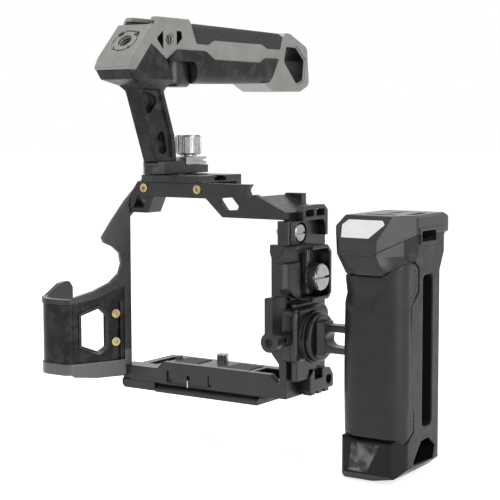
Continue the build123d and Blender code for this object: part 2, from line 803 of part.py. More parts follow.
# Column foot: the wall runs down to a connector that is bolted to the base plate
connector = block(base_left - 5.0, dovetail_left - 0.5, front, front + 12.0, 0.4, plate_underside)
connector = chamfer(connector.edges().filter_by(Axis.Y).group_by(Axis.Z)[0].sort_by(Axis.X)[0], 1.6)
connector -= rod("z", 2.4, 0.0, 1.6, -30.5, front + 6.0)
connector += block(base_left - 5.0, base_left, front + 1.0, front + 10.0, plate_underside, seat_height)
connector -= wrap
connector = connector.solids().sort_by(SortBy.VOLUME)[-1]
parts["wrap_connector"] = connector
parts["grip_wrap"] = wrap

# Gusset between the top of the wall and the top bridge
gusset_outline = [
    (-41.5, shoulder + 0.4),
    (-27.0, shoulder + 0.4),
    (beam_left + 6.0, beam_bottom),
    (beam_left + 4.0, beam_top - arm_drop - 0.2),
    (beam_left, beam_top - arm_drop - 0.2),
    (beam_left, beam_top),
    (beam_left - 4.5, beam_top),
    (beam_left - 9.5, beam_bottom + 1.0),
]
gusset = slab("y", gusset_outline, -19.0, -8.0)
gusset_window = [
    (-37.0, shoulder + 2.8),
    (-30.0, shoulder + 2.8),
    (beam_left + 0.6, beam_bottom - 2.4),
    (beam_left - 4.6, beam_bottom + 0.6),
]
gusset -= slab("y", gusset_window, -20.0, -7.0)
gusset -= parts["top_bridge"]
gusset -= wrap
parts["top_gusset"] = gusset


# ---------------------------------------------------------------------------------------------
# Side clamp on the rail: body, jaw and lever
# ---------------------------------------------------------------------------------------------

clamp_face = [
    (clamp_front, clamp_bottom, clamp_corner),
    (clamp_back, clamp_bottom, clamp_corner),
    (clamp_back, clamp_top, clamp_corner),
    (clamp_front, clamp_top, clamp_corner),
]
clamp_block = slab("x", clamp_face, side_outer + 0.6, clamp_outer)
clamp_block = fillet(clamp_block.edges().group_by(Axis.X)[-1], clamp_round)
rail_room = extrude(Plane.XY.offset(0.0) * offset(rail_face, fit_gap), 80.0)
jaw_inner = rail_x4 + fit_gap
jaw_y = rail_centre_y - neck_half - 0.6
jaw_room = block(side_outer, jaw_inner, clamp_front - 1.0, jaw_y, clamp_bottom - 1.0, clamp_top + 1.0)
mid_room = block(side_outer, jaw_inner, jaw_y - 0.1, rail_centre_y + neck_half + 0.6, clamp_bottom - 1.0,
                 clamp_top + 1.0)
clamp_body = clamp_block - rail_room - jaw_room - mid_room
clamp_body += rod("x", collar_radius, clamp_outer, clamp_outer + collar_length, hub_centre_y, hub_centre_z)
clamp_body -= rod("x", pivot_head_radius + fit_gap, jaw_inner - 0.1, jaw_inner + pivot_head + 0.5,
                  hub_centre_y, hub_centre_z)
clamp_body -= rod("x", pivot_radius + turn_gap, jaw_inner, clamp_outer + collar_length + 1.0,
                  hub_centre_y, hub_centre_z)
clamp_body -= rod("y", lever_neck_radius + turn_gap, clamp_front - 1.0, clamp_front + 3.6, lever_x, lever_z)
parts["clamp_body"] = clamp_body

clamp_jaw = clamp_block & block(side_outer + 0.6, jaw_inner - fit_gap, clamp_front, jaw_y, clamp_bottom, clamp_top)
clamp_jaw -= rail_room
clamp_jaw -= rod("y", lever_neck_radius + turn_gap, clamp_front - 1.0, clamp_front + 3.6, lever_x, lever_z)
parts["clamp_jaw"] = clamp_jaw

lever_back = lever_front + lever_boss_length
lever = rod("y", lever_boss_radius, lever_front, lever_back, lever_x, lever_z)
lever = chamfer_rims(lever, Axis.Y, 0.4)
lever += slab("y", [
    (lever_x - 2.3, lever_z),
    (lever_x + lever_thickness - 2.3, lever_z),
    (lever_x + lever_thickness - 2.3, lever_z + lever_length, 1.0),
    (lever_x - 2.3, lever_z + lever_length, 1.0),
], lever_front, lever_front + lever_depth)
lever += rod("y", lever_neck_radius, lever_back - 0.2, clamp_front + 1.8, lever_x, lever_z)
lever -= rod("x", 1.3, lever_x - 6.0, lever_x + 6.0, (lever_back + clamp_front) / 2, lever_z)
lever -= rod("y", lever_screw_radius + 0.5, lever_front, lever_front + 1.2, lever_x, lever_z)
parts["clamp_lever"] = lever
lever_screw = rod("y", lever_screw_radius + 0.5, lever_front + 0.3, lever_front + 1.2, lever_x, lever_z)
lever_screw -= hexagon("y", 1.1, lever_front, lever_front + 0.9, lever_x, lever_z)
parts["lever_screw"] = lever_screw


# ---------------------------------------------------------------------------------------------
# Turning hub and slotted arm
# ---------------------------------------------------------------------------------------------

hub_x = clamp_outer + collar_length + fit_gap
arm_x = hub_x + hub_length
hub = rod("x", hub_radius, hub_x, arm_x, hub_centre_y, hub_centre_z)
hub = fillet(hub.edges().filter_by(GeomType.CIRCLE).group_by(Axis.X)[-1], 1.4)
parts["arm_hub"] = hub

arm = block(arm_x, arm_x + arm_length, hub_centre_y - arm_thickness / 2, hub_centre_y + arm_thickness / 2,
            hub_centre_z - arm_height / 2, hub_centre_z + arm_height / 2)
arm = fillet(arm.edges().filter_by(Axis.X), 1.4)
arm_root = outline([
    (arm_x, hub_centre_y - 6.6),
    (arm_x + 3.2, hub_centre_y - arm_thickness / 2),
    (arm_x + 3.2, hub_centre_y + arm_thickness / 2),
    (arm_x, hub_centre_y + 6.6),
])
arm += extrude(Plane.XY.offset(hub_centre_z - arm_height / 2 - 1.0) * arm_root, arm_height + 2.0)
arm -= slot("y", arm_slot_length, arm_slot_height, hub_centre_y - 20.0, hub_centre_y + 20.0,
            arm_x + arm_slot_start + arm_slot_length / 2 + 1.2, hub_centre_z)
parts["arm_bar"] = arm

pivot = rod("x", pivot_head_radius, jaw_inner + 0.2, jaw_inner + 0.2 + pivot_head, hub_centre_y, hub_centre_z)
pivot += rod("x", pivot_radius, jaw_inner + pivot_head, hub_x, hub_centre_y, hub_centre_z)
parts["pivot_screw"] = pivot


# ---------------------------------------------------------------------------------------------
# Side handle
# ---------------------------------------------------------------------------------------------

core_front = handle_front + leather_thickness
core_inner = handle_inner + leather_thickness
cheek = handle_outer - 1.4       # face of the core under the leather's flap
core_profile = [
    (core_front, handle_seam),
    (core_front, base_top),
    (handle_front, base_top - 1.6),
    (handle_front, handle_bottom + 4.0, 1.0),
    (handle_front + 4.0, handle_bottom, 1.5),
    (core_back - 2.6, handle_bottom + 1.8, 2.0),
    (core_back, handle_bottom + 7.1),
    (core_back, handle_seam),
]
core = slab("x", core_profile, core_inner, handle_outer)
plan_blank = outline([
    (handle_inner - 2.0, handle_front - 2.0),
    (handle_outer + 2.0, handle_front - 2.0),
    (handle_outer + 2.0, core_back + 2.0),
    (handle_inner - 2.0, core_back + 2.0),
])
waist_plan = outline([
    (core_inner, core_front, 9.0),
    (handle_outer, core_front, 7.0),
    (handle_outer, core_back + 1.0),
    (core_inner, core_back + 1.0),
])
core -= extrude(Plane.XY.offset(base_top) * (plan_blank - waist_plan), handle_seam - base_top)

# Faceted base, wider than the waist by the leather's thickness
base_plan = outline([
    (handle_inner + 3.0, handle_front, 2.5),
    (handle_outer - 5.0, handle_front, 3.0),
    (handle_outer, handle_front + 7.0, 3.0),
    (handle_outer, core_back + 1.0),
    (handle_inner, core_back + 1.0),
    (handle_inner, handle_front + 7.0, 2.0),
])
core -= extrude(Plane.XY.offset(handle_bottom - 5.0) * (plan_blank - base_plan), base_top - handle_bottom + 5.0)
base_flare = [
    (handle_inner + 0.6, base_top),
    (handle_inner, handle_bottom + 4.0),
    (handle_inner + 4.0, handle_bottom),
    (core_inner + 3.0, handle_bottom),
    (core_inner + 3.0, base_top),
]
core += slab("y", base_flare, handle_front + 7.4, core_back - 3.0)
base_chin = [
    (handle_outer - 18.0, handle_bottom - 0.1),
    (handle_outer - 4.0, handle_bottom + 3.1),
    (handle_outer + 0.1, handle_bottom + 7.0),
    (handle_outer + 0.1, handle_bottom - 0.1),
]
core -= slab("y", base_chin, handle_front - 1.0, core_back + 1.0)

# Shoulder step where the sheath of the leather ends on the outer face
pad_edge = [
    (core_front - 1.0, base_top),
    (handle_front + 3.4, base_top - 4.0),
    (handle_front + 13.5, base_top + 2.6),
    (handle_front + 13.5, base_top + 11.6),
    (handle_front + 9.4, base_top + 16.5),
    (handle_front + 9.0, base_top + 29.1),
    (handle_front + 10.7, handle_seam - 14.5),
    (handle_front + 18.0, handle_seam - 8.2),
    (handle_front + 18.0, handle_seam + 2.9),
    (handle_front + 14.0, handle_seam + 5.9),
    (handle_front + 9.2, handle_seam + leather_seam_rise),
    (core_front - 1.0, handle_seam + leather_seam_rise),
]
flap_room = slab("x", pad_edge, cheek, handle_outer + 1.0)
core -= flap_room
core_blank = core

# Long finger groove and the window below it, both in the outer face
groove_top = handle_seam - 0.4
groove_room = [
    (groove_front, groove_bottom, 3.0),
    (groove_back, groove_bottom, 3.0),
    (groove_back, groove_top, 3.0),
    (groove_front, groove_top, 3.0),
]
core -= slab("x", groove_room, handle_outer - groove_depth, handle_outer + 1.0)
lower_window = [
    (groove_front + 6.8, base_top - 2.4, 1.0),
    (groove_back + 3.6, base_top - 7.6, 1.0),
    (groove_back + 1.6, base_top - 13.6, 1.0),
    (groove_front - 9.5, base_top - 13.0, 1.0),
    (groove_front - 0.6, base_top - 3.0, 1.0),
]
core -= slab("x", lower_window, handle_outer - lower_window_depth, handle_outer + 1.0)

# Socket for the slotted arm, and the cross bolt's hole
arm_half = arm_thickness / 2 + fit_gap
arm_rise = arm_height / 2 + fit_gap
socket_end = arm_x + arm_length + reach_travel + 2 * fit_gap
core -= block(core_inner - 3.0, socket_end, hub_centre_y - arm_half, hub_centre_y + arm_half,
              hub_centre_z - arm_rise, hub_centre_z + arm_rise)
bolt_x = arm_x + arm_slot_start + arm_slot_length + 1.2 - reach_bolt_radius - 0.5
bolt_front = hub_centre_y - arm_half - 6.0
bolt_seat = core_back - 3.0
bolt_seat_radius = 4.4
core -= rod("y", reach_bolt_radius, bolt_front, core_back + 1.0, bolt_x, hub_centre_z)
core -= rod("y", bolt_seat_radius, bolt_seat, core_back + 1.0, bolt_x, hub_centre_z)

# Patterned insert in the front of the base
insert_points = [
    (handle_inner + 8.0, base_top - 2.4),
    (handle_inner + 23.4, base_top - 2.4),
    (handle_inner + 16.2, handle_bottom + 4.6),
    (handle_inner + 6.4, handle_bottom + 5.0),
]
core -= slab("y", insert_points, handle_front, handle_front + insert_thickness)
parts["base_insert"] = slab("y", insert_points, handle_front + 0.1, handle_front + insert_thickness)

# Leather sleeve: front, inner side and a flap on the outer face
leather_face = handle_outer - 0.2
leather_back = core_back - 3.0
sleeve_outer = outline([
    (handle_inner, handle_front, 11.0),
    (leather_face, handle_front, 9.0),
    (leather_face, leather_back),
    (handle_inner, leather_back),
])
leather_top = [
    (handle_inner - 1.0, base_top - 6.0),
    (handle_outer + 1.0, base_top - 6.0),
    (handle_outer + 1.0, handle_seam + leather_seam_rise),
    (handle_outer - 10.4, handle_seam - 0.1),
    (handle_inner - 1.0, handle_seam - 0.1),
]
above_seam = leather_seam_rise + 1.0
sleeve = extrude(Plane.XY.offset(base_top + 0.1) * sleeve_outer, handle_seam + above_seam - base_top)
sleeve &= slab("y", leather_top, handle_front - 1.0, core_back + 1.0)
sleeve_front = sleeve & block(handle_inner - 1.0, cheek, handle_front - 1.0, leather_back + 1.0,
                              base_top - 1.0, handle_seam + above_seam)
sleeve_front -= extrude(Plane.XY.offset(handle_seam - 0.2) * waist_plan, above_seam + 1.0)
sleeve_flap = slab("x", pad_edge, cheek, leather_face) & (
    extrude(Plane.XY.offset(base_top - 5.0) * sleeve_outer, handle_seam + above_seam - base_top + 5.0))
leather = (sleeve_front + sleeve_flap) - core_blank
leather -= block(core_inner, cheek, handle_front + 13.0, core_back + 1.0, base_top - 5.0, handle_seam + above_seam)
leather -= block(handle_inner - 1.0, core_inner + 0.1, hub_centre_y - arm_half - 0.6, hub_centre_y + arm_half + 0.6,
                 hub_centre_z - arm_rise - 0.6, hub_centre_z + arm_rise + 0.6)
leather -= rod("y", reach_bolt_radius + 0.4, core_front, core_back + 1.0, bolt_x, hub_centre_z)
leather = leather.solids().sort_by(SortBy.VOLUME)[-1]
parts["leather_pad"] = leather

# Ribbed rubber on the back edge
rib_valley = handle_back - rib_depth
rib_z = base_top - 8.0
grip_points = [(core_back, rib_z - 4.5), (rib_valley, rib_z - 2.0)]
while rib_z + rib_pitch < handle_seam:
    grip_points.append((rib_valley, rib_z))
    grip_points.append((handle_back, rib_z + 0.8))
    grip_points.append((handle_back, rib_z + rib_pitch - 1.2))
    grip_points.append((rib_valley, rib_z + rib_pitch - 0.4))
    rib_z += rib_pitch
grip_points += [(rib_valley, rib_z + 0.3), (core_back, rib_z + 0.6)]
back_grip = slab("x", grip_points, handle_inner + 4.0, handle_outer - 1.6)
back_grip -= rod("y", bolt_seat_radius + 0.2, core_back - 1.0, handle_back + 1.0, bolt_x, hub_centre_z)
parts["back_grip"] = back_grip

# Cross bolt through the arm's slot
bolt_head = bolt_seat + 0.3
reach_bolt = rod("y", reach_bolt_radius, bolt_front + 0.4, bolt_head, bolt_x, hub_centre_z)
reach_bolt += rod("y", bolt_seat_radius - 0.2, bolt_head, bolt_head + 4.1, bolt_x, hub_centre_z)
reach_bolt -= hexagon("y", 2.2, bolt_head + 1.5, bolt_head + 4.1, bolt_x, hub_centre_z)
parts["reach_bolt"] = reach_bolt

# Neck: widens from the waist to the underside of the cap, whose seam rises on the outer corner
cap_inner = handle_inner - cap_flare
cap_front = handle_front - 0.8
under_cap_view = [
    (cap_inner - 3.0, handle_seam - 1.0),
    (handle_outer + 2.0, handle_seam - 1.0),
    (handle_outer + 2.0, neck_top + cap_seam_rise),
    (handle_outer, neck_top + cap_seam_rise),
    (handle_outer - 15.5, neck_top),
    (cap_inner - 3.0, neck_top),
]
under_cap = slab("y", under_cap_view, cap_front - 2.0, core_back + 14.0)
neck_bottom_plan = [
    (handle_inner, handle_front + 11.0),
    (handle_inner + 3.2, handle_front + 3.2),
    (handle_inner + 11.0, handle_front),
    (handle_outer - 9.2, handle_front),
    (handle_outer - 2.8, handle_front + 2.6),
    (handle_outer, handle_front + 9.0),
    (handle_outer, core_back),
    (handle_inner + 3.0, core_back),
    (handle_inner, core_back - 3.0),
]
neck_top_plan = [
    (handle_inner - 0.9, handle_front + 4.0),
    (handle_inner - 0.2, handle_front + 0.8),
    (handle_inner + 2.6, handle_front - 0.4),
    (handle_outer - 13.0, handle_front - 0.4),
    (handle_outer - 6.5, handle_front + 7.8),
    (handle_outer, handle_front + 16.0),
    (handle_outer, core_back + 4.5),
    (handle_inner + 6.0, core_back + 4.5),
    (handle_inner - 0.9, core_back - 2.0),
]
neck = loft([Plane.XY.offset(handle_seam) * outline(neck_bottom_plan),
             Plane.XY.offset(neck_top) * outline(neck_top_plan)], ruled=True)
neck += extrude(Plane.XY.offset(neck_top) * outline(neck_top_plan), cap_seam_rise)
neck &= under_cap
panel_room = block(handle_outer - 8.0, handle_outer + 1.0, panel_front, core_back + 6.0, handle_seam - 1.0,
                   handle_top)
core_panel = (neck & panel_room) - flap_room
neck -= panel_room
neck -= flap_room
neck -= leather
neck = neck.solids().sort_by(SortBy.VOLUME)[-1]
parts["handle_neck"] = neck
core += core_panel

# Cap: sloped front face, chamfered outer corner, strap window and accessory holes in the top
slope_foot = handle_top - 12.0
slope_head = handle_front + 6.0
cap_profile = [
    (handle_front - 0.4, neck_top),
    (cap_front, slope_foot, 0.8),
    (slope_head, handle_top, 1.0),
    (core_back + 6.6, handle_top, 1.0),
    (core_back + 10.4, handle_top - 3.6, 1.0),
    (core_back + 10.4, handle_top - 5.8, 1.0),
    (core_back + 7.2, neck_top + 5.1),
    (core_back + 4.5, neck_top + 1.5),
    (core_back + 4.5, neck_top),
]
cap = slab("x", cap_profile, cap_inner, handle_outer) - under_cap
cap_plan = outline([
    (cap_inner + 4.0, cap_front),
    (handle_outer - 13.0, cap_front, 2.0),
    (handle_outer, handle_front + 16.0, 3.0),
    (handle_outer, core_back + 10.4, 2.0),
    (cap_inner + 8.5, core_back + 10.4, 3.0),
    (cap_inner, core_back - 2.0, 3.0),
    (cap_inner, cap_front + 4.0, 1.5),
])
cap &= extrude(Plane.XY.offset(neck_top - 1.0) * cap_plan, handle_top - neck_top + 2.0)
cap_view = [
    (handle_inner - 0.9, neck_top),
    (cap_inner, handle_top - 5.5, 0.8),
    (cap_inner + 3.9, handle_top, 0.8),
    (handle_outer - 1.5, handle_top, 0.8),
    (handle_outer, handle_top - 1.5, 0.8),
    (handle_outer, neck_top),
]
cap &= slab("y", cap_view, cap_front - 1.0, core_back + 12.0)
strap_front = groove_front - 2.4
strap_back = groove_back + 1.7
strap_bottom = handle_top - 12.4
strap_top = handle_top - 7.4
strap_rim = 1.3
rim_view = [
    (strap_front - strap_rim, strap_bottom - strap_rim),
    (strap_back + strap_rim, strap_bottom - strap_rim),
    (strap_back + 9.0, strap_bottom + 2.4),
    (strap_back + 9.0, strap_top + strap_rim),
    (strap_front - strap_rim, strap_top + strap_rim),
]
rim = slab("x", rim_view, handle_outer - 1.0, handle_outer + 0.7)
strap_window = block(handle_outer - 8.0, handle_outer + 1.0, strap_front, strap_back, strap_bottom, strap_top)
strap_window += block(handle_outer - 8.0, handle_outer - 3.6, strap_front, strap_back, strap_top - 0.1,
                      handle_top + 1.0)
core += rim & under_cap
core -= strap_window
parts["handle_core"] = core
cap += rim - under_cap
cap -= strap_window
top_hole_x = handle_inner + 16.0
top_hole_y = core_back - 9.0
cap -= rod("z", quarter_radius, handle_top - 12.0, handle_top + 1.0, top_hole_x, top_hole_y)
for pin_y in (top_hole_y - 7.5, top_hole_y + 7.5):
    cap -= rod("z", 1.6, handle_top - 5.0, handle_top + 1.0, top_hole_x, pin_y)
cap -= block(top_hole_x - 8.0, top_hole_x + 8.0, top_hole_y - 18.0, top_hole_y - 14.0, handle_top - 1.6,
             handle_top + 1.0)

# Blank plate let into the cap's sloped face
slope_angle = math.atan2(handle_top - slope_foot, slope_head - cap_front)
plate_plane = Plane(
    origin=(handle_inner + 12.0, (slope_head + cap_front) / 2, (handle_top + slope_foot) / 2),
    x_dir=(1.0, 0.0, 0.0),
    z_dir=(0.0, -math.sin(slope_angle), math.cos(slope_angle)),
)
plate_points = [
    (-9.8, -5.0, 0.6),
    (4.6, -5.0, 0.6),
    (11.2, 2.2, 0.6),
    (9.6, 4.4, 0.6),
    (-8.2, 4.4, 0.6),
    (-11.0, 1.6, 0.6),
]
plate_room = extrude(plate_plane * outline(plate_points), -0.8)
cap -= plate_room
parts["head_cap"] = cap
parts["label_plate"] = plate_room + extrude(plate_plane * outline(plate_points), 0.15)


# ---------------------------------------------------------------------------------------------
# Top handle: foot, clamp plate and knob
# ---------------------------------------------------------------------------------------------

# Heights of the top handle are measured up from the underside of its foot
foot_z = shoe_top + fit_gap
raised = Pos(0.0, 0.0, foot_z)

foot_x0 = top_centre_x - foot_width / 2
foot_x1 = top_centre_x + foot_width / 2
foot_plan = outline([
    (foot_x0, foot_front + 4.5),
    (foot_x0 + 4.5, foot_front),
    (foot_x1 - 4.5, foot_front),
    (foot_x1, foot_front + 4.5),
    (foot_x1, foot_back, 1.5),
    (foot_x0, foot_back, 1.5),
])
strut_foot = foot_height + foot_collar
top_foot = extrude(foot_plan, foot_height)
collar_view = [(foot_front + 1.0, foot_height), (foot_front + 2.4, strut_foot), (-1.0, strut_foot),
               (0.4, foot_height)]
top_foot += slab("x", collar_view, foot_x0, foot_x1) & extrude(foot_plan, strut_foot)
top_foot -= rod("z", knob_screw_radius + turn_gap, 0.0, foot_height, top_centre_x, knob_y)
parts["handle_foot"] = raised * top_foot

tongue = block(foot_x0, foot_x1, slot_centre_y - tongue_neck / 2, slot_centre_y + tongue_neck / 2,
               groove_roof - fit_gap, foot_z)
tongue += block(foot_x0, foot_x1, slot_centre_y - tongue_width / 2, slot_centre_y + tongue_width / 2,
                groove_floor + fit_gap, groove_roof - fit_gap)
parts["foot_tongue"] = tongue

plate_z = foot_height + fit_gap
plate_x0 = top_centre_x - clamp_plate_width / 2
plate_x1 = top_centre_x + clamp_plate_width / 2
clamp_plate = block(plate_x0, plate_x1, clamp_plate_front, clamp_plate_back, plate_z, plate_z + clamp_plate_height)
plate_groove = block(plate_x0 - 1.0, plate_x1 + 1.0, clamp_plate_back - 12.0, clamp_plate_back + 1.0,
                     plate_z + 1.6, plate_z + 2.6)
plate_groove -= block(plate_x0 + 1.2, plate_x1 - 1.2, 0.0, clamp_plate_back - 1.2, plate_z,
                      plate_z + clamp_plate_height)
clamp_plate -= plate_groove
clamp_plate -= rod("z", knob_screw_radius + turn_gap, plate_z - 1.0, plate_z + clamp_plate_height + 1.0,
                   top_centre_x, knob_y)
parts["handle_clamp_plate"] = raised * clamp_plate

knob_z = plate_z + clamp_plate_height + fit_gap
knob = rod("z", knob_radius, knob_z + 0.8, knob_z + knob_length, top_centre_x, knob_y)
knob = chamfer_rims(knob, Axis.Z, 0.8)
knob += rod("z", knob_radius - 2.4, knob_z, knob_z + 0.9, top_centre_x, knob_y)
knob += rod("z", knob_screw_radius, 2 * fit_gap, knob_z + 0.1, top_centre_x, knob_y)
for notch_index in range(3):
    notch_angle = math.radians(20.0 + 120.0 * notch_index)
    knob -= rod("z", 1.8, knob_z + 2.2, knob_z + knob_length + 1.0,
                top_centre_x + (knob_radius + 0.7) * math.cos(notch_angle),
                knob_y + (knob_radius + 0.7) * math.sin(notch_angle))
parts["handle_knob"] = raised * knob


# ---------------------------------------------------------------------------------------------
# Top handle: strut and head
# ---------------------------------------------------------------------------------------------

strut_x0 = top_centre_x - strut_width / 2
strut_x1 = top_centre_x + strut_width / 2
head_x0 = top_centre_x - top_width / 2
head_x1 = top_centre_x + top_width / 2
strut_top = [(-14.0, 49.7), (-19.1, 58.9), (-31.8, 66.4), (-44.5, 52.9), (-50.0, 52.9)]
strut_view = [(-20.6, strut_foot), (-3.2, strut_foot), (-4.8, 19.9), (-14.4, 44.6)] + strut_top + [
    (-46.4, 48.2), (-36.4, 45.4), (-35.2, 43.2)]
strut = slab("x", strut_view, head_x0, head_x1)
flare_bottom = 42.6
flare_top = 48.6
strut_front_view = [
    (head_x0, 70.0),
    (head_x0, flare_top),
    (strut_x0, flare_bottom),
    (strut_x0, strut_foot - 1.0),
    (strut_x1, strut_foot - 1.0),
    (strut_x1, flare_bottom),
    (head_x1, flare_top),
    (head_x1, 70.0),
]
strut &= slab("y", strut_front_view, -60.0, 0.0)
# pockets from both sides, with a thin web left between them
strut_pockets = [
    [(-30.6, 42.1, 0.6), (-27.0, 42.5, 0.6), (-18.9, 40.3, 0.6), (-17.9, 37.5, 0.6), (-23.8, 31.6, 0.6),
     (-27.4, 31.6, 0.6), (-29.4, 35.7, 0.6)],
    [(-15.6, 22.1, 0.6), (-12.6, 21.5, 0.6), (-10.1, 12.1, 0.6), (-12.6, 10.1, 0.6), (-21.4, 12.1, 0.6),
     (-22.0, 16.7, 0.6)],
]
web_x0 = top_centre_x - strut_web / 2
web_x1 = top_centre_x + strut_web / 2
for pocket in strut_pockets:
    strut -= slab("x", pocket, head_x0 - 1.0, web_x0)
    strut -= slab("x", pocket, web_x1, head_x1 + 1.0)
# sides hollowed between a raised front and back rim
rim_depth = 1.0
side_hollow = [(-18.6, 8.5), (-6.6, 8.5), (-7.8, 19.7), (-17.0, 43.3), (-31.6, 45.3), (-32.6, 42.7)]
strut -= slab("x", side_hollow, strut_x0 - rim_depth, strut_x0 + rim_depth)
strut -= slab("x", side_hollow, strut_x1 - rim_depth, strut_x1 + rim_depth)

head_top = 76.1
head_view = [
    (-44.5, 52.9),
    (-52.0, 52.9, 1.2),
    (-48.5, 59.0),
    (-31.8, head_top),
    (2.9, head_top),
    (7.1, 67.9),
    (12.0, 67.8),
    (12.0, 64.0),
    (-10.0, 64.0),
    (-19.1, 58.9),
    (-31.8, 66.4),
]
head = slab("x", head_view, head_x0, head_x1)
face_slope = math.atan2(head_top - 59.0, -31.8 + 48.5)
face_plane = Plane(
    origin=(top_centre_x, (-48.5 - 31.8) / 2, (59.0 + head_top) / 2),
    x_dir=(1.0, 0.0, 0.0),
    z_dir=(0.0, -math.sin(face_slope), math.cos(face_slope)),
)
face_socket = extrude(face_plane * Circle(three_eighths_radius), -socket_depth)
head -= face_socket
strut -= face_socket
parts["handle_strut"] = raised * strut
face_ring = 7.0
head -= extrude(face_plane * (Circle(face_ring + 0.6) - Circle(face_ring - 0.4)), -0.9)
for notch_angle, notch_size in ((45.0, 3.0), (135.0, 3.0), (225.0, 1.8), (315.0, 1.8)):
    notch = Pos(face_ring * math.cos(math.radians(notch_angle)), face_ring * math.sin(math.radians(notch_angle)))
    head -= extrude(face_plane * notch * Rot(0.0, 0.0, notch_angle) * Rectangle(notch_size, notch_size), -2.0)
head_pockets = [
    [(-21.6, 73.6, 0.5), (-27.4, 69.1, 0.8), (-21.6, 63.1, 0.5)],
    [(-10.7, 73.6, 0.5), (-6.4, 73.6, 0.8), (-5.4, 70.1, 0.8), (-10.7, 65.7, 0.5)],
]
pocket_depth = 5.0
for pocket in head_pockets:
    head -= slab("x", pocket, head_x0 - pocket_depth, head_x0 + pocket_depth)
    head -= slab("x", pocket, head_x1 - pocket_depth, head_x1 + pocket_depth)
side_hole_y = -16.2
side_hole_z = head_top - 7.2
head -= rod("x", quarter_radius, head_x0 - 1.0, head_x1 + 1.0, side_hole_y, side_hole_z)
for mouth_x in (head_x0, head_x1):
    head -= rod("x", quarter_radius + 0.8, mouth_x - 0.8, mouth_x + 0.8, side_hole_y, side_hole_z)

# Cold shoe on top of the head, open to the front
shoe_rail = 2.1
cold_floor = head_top - 0.2
cold_roof = cold_floor + cold_depth
cold_top = cold_roof + shoe_rail
cold_back = -10.0
cold_view = [(-28.6, head_top - 0.1), (-26.0, cold_top), (0.3, cold_top), (2.6, head_top - 0.1)]
cold_shoe = slab("x", cold_view, head_x0, head_x1)
cold_shoe = chamfer(cold_shoe.edges().filter_by(Axis.Y).group_by(Axis.Z)[-1], 0.8)
head += cold_shoe
head -= block(top_centre_x - cold_width / 2, top_centre_x + cold_width / 2, -40.0, cold_back, cold_floor, cold_roof)
head -= block(top_centre_x - cold_neck_width / 2, top_centre_x + cold_neck_width / 2, -40.0, cold_back,
              cold_roof - 0.1, cold_top + 1.0)
parts["handle_head"] = raised * head
spring = block(top_centre_x - 5.6, top_centre_x + 5.6, -25.6, -12.0, cold_floor, cold_floor + 0.4)
spring -= block(top_centre_x - 3.0, top_centre_x + 3.0, -22.0, -15.0, cold_floor - 0.1, cold_floor + 1.0)
parts["shoe_spring"] = raised * spring


# ---------------------------------------------------------------------------------------------
# Top handle: spine, grip, pad and rear loop
# ---------------------------------------------------------------------------------------------

spine_upper = [(12.0, 67.8), (16.9, 67.8), (22.2, 70.3), (68.9, 70.3), (74.3, 68.1), (87.2, 68.1)]
spine_lower = [(84.6, 62.5), (72.6, 62.3), (66.5, 59.6), (22.1, 59.8), (13.9, 64.0), (12.0, 64.0)]
spine = slab("x", spine_upper + spine_lower, head_x0, head_x1)
parts["handle_spine"] = raised * spine

# Grip, cut away under its front end for the forefinger
recess_roof = 58.2
grip_view = [
    (-10.0, 64.0),
    (-18.4, 58.7),
    (-16.0, recess_roof),
    (3.0, recess_roof),
    (5.4, recess_roof - 2.4),
    (6.4, 47.0),
    (68.5, 48.3),
    (76.6, 49.1),
] + spine_lower[:5]
grip_x0 = head_x0 - 1.0
grip_x1 = head_x1 + 1.0
grip = slab("x", grip_view, grip_x0, grip_x1)
grip_section = [(grip_x0, 76.0), (grip_x0, 46.8, 6.5), (grip_x1, 46.8, 6.5), (grip_x1, 76.0)]
grip &= slab("y", grip_section, -20.0, 120.0)
grip -= strut

# Record button: a rounded lug in the recess, free to rise into a pocket of the grip
button_front = -9.4
button_bottom = 45.1
button_plan = Pos(top_centre_x, button_front + button_length / 2) * Rot(0.0, 0.0, 90.0)
button_top = button_bottom + button_height
button_room = extrude(
    Plane.XY.offset(button_bottom - 2.0) * button_plan * SlotOverall(button_length + 2 * fit_gap,
                                                                     button_width + 2 * fit_gap),
    button_height + 2.0 + button_travel + fit_gap)
grip -= button_room
button = extrude(Plane.XY.offset(button_bottom) * button_plan * SlotOverall(button_length, button_width),
                 button_height)
button = fillet(button.edges().group_by(Axis.Z)[0], 2.4)
parts["record_button"] = raised * button

pad_view = [
    (7.1, 67.9),
    (16.9, 67.8),
    (22.2, 70.3),
    (68.9, 70.3),
    (74.3, 68.1),
    (87.0, 68.1),
    (89.4, 75.1),
    (86.0, 77.0, 2.0),
    (6.0, 78.2, 1.6),
    (2.9, 76.1),
]
pad_x0 = head_x0 - 0.4
pad_x1 = head_x1 + 0.4
top_pad = slab("x", pad_view, pad_x0, pad_x1)
pad_section = [(pad_x0, 60.0), (pad_x1, 60.0), (pad_x1, 78.4, 4.0), (pad_x0, 78.4, 4.0)]
top_pad &= slab("y", pad_section, -20.0, 120.0)
top_pad -= spine + head
parts["top_pad"] = raised * top_pad

loop_view = [
    (89.4, 75.1),
    (93.7, 77.7, 1.5),
    (98.6, 77.3, 1.5),
    (116.8, 70.1, 4.0),
    (119.1, 48.4, 4.0),
    (109.0, 44.3, 4.0),
    (80.0, 44.1, 4.5),
    (69.4, 48.6),
    (76.6, 49.1),
    (84.6, 62.5),
    (87.2, 68.1),
]
loop_window = [
    (95.0, 70.0, 1.5),
    (106.0, 69.8, 2.5),
    (114.9, 62.6, 2.5),
    (113.4, 51.0, 2.5),
    (106.0, 48.9, 2.5),
    (92.4, 61.3, 2.5),
]
rear_loop = slab("x", loop_view, head_x0, head_x1)
rear_loop -= slab("x", loop_window, head_x0 - 1.0, head_x1 + 1.0)
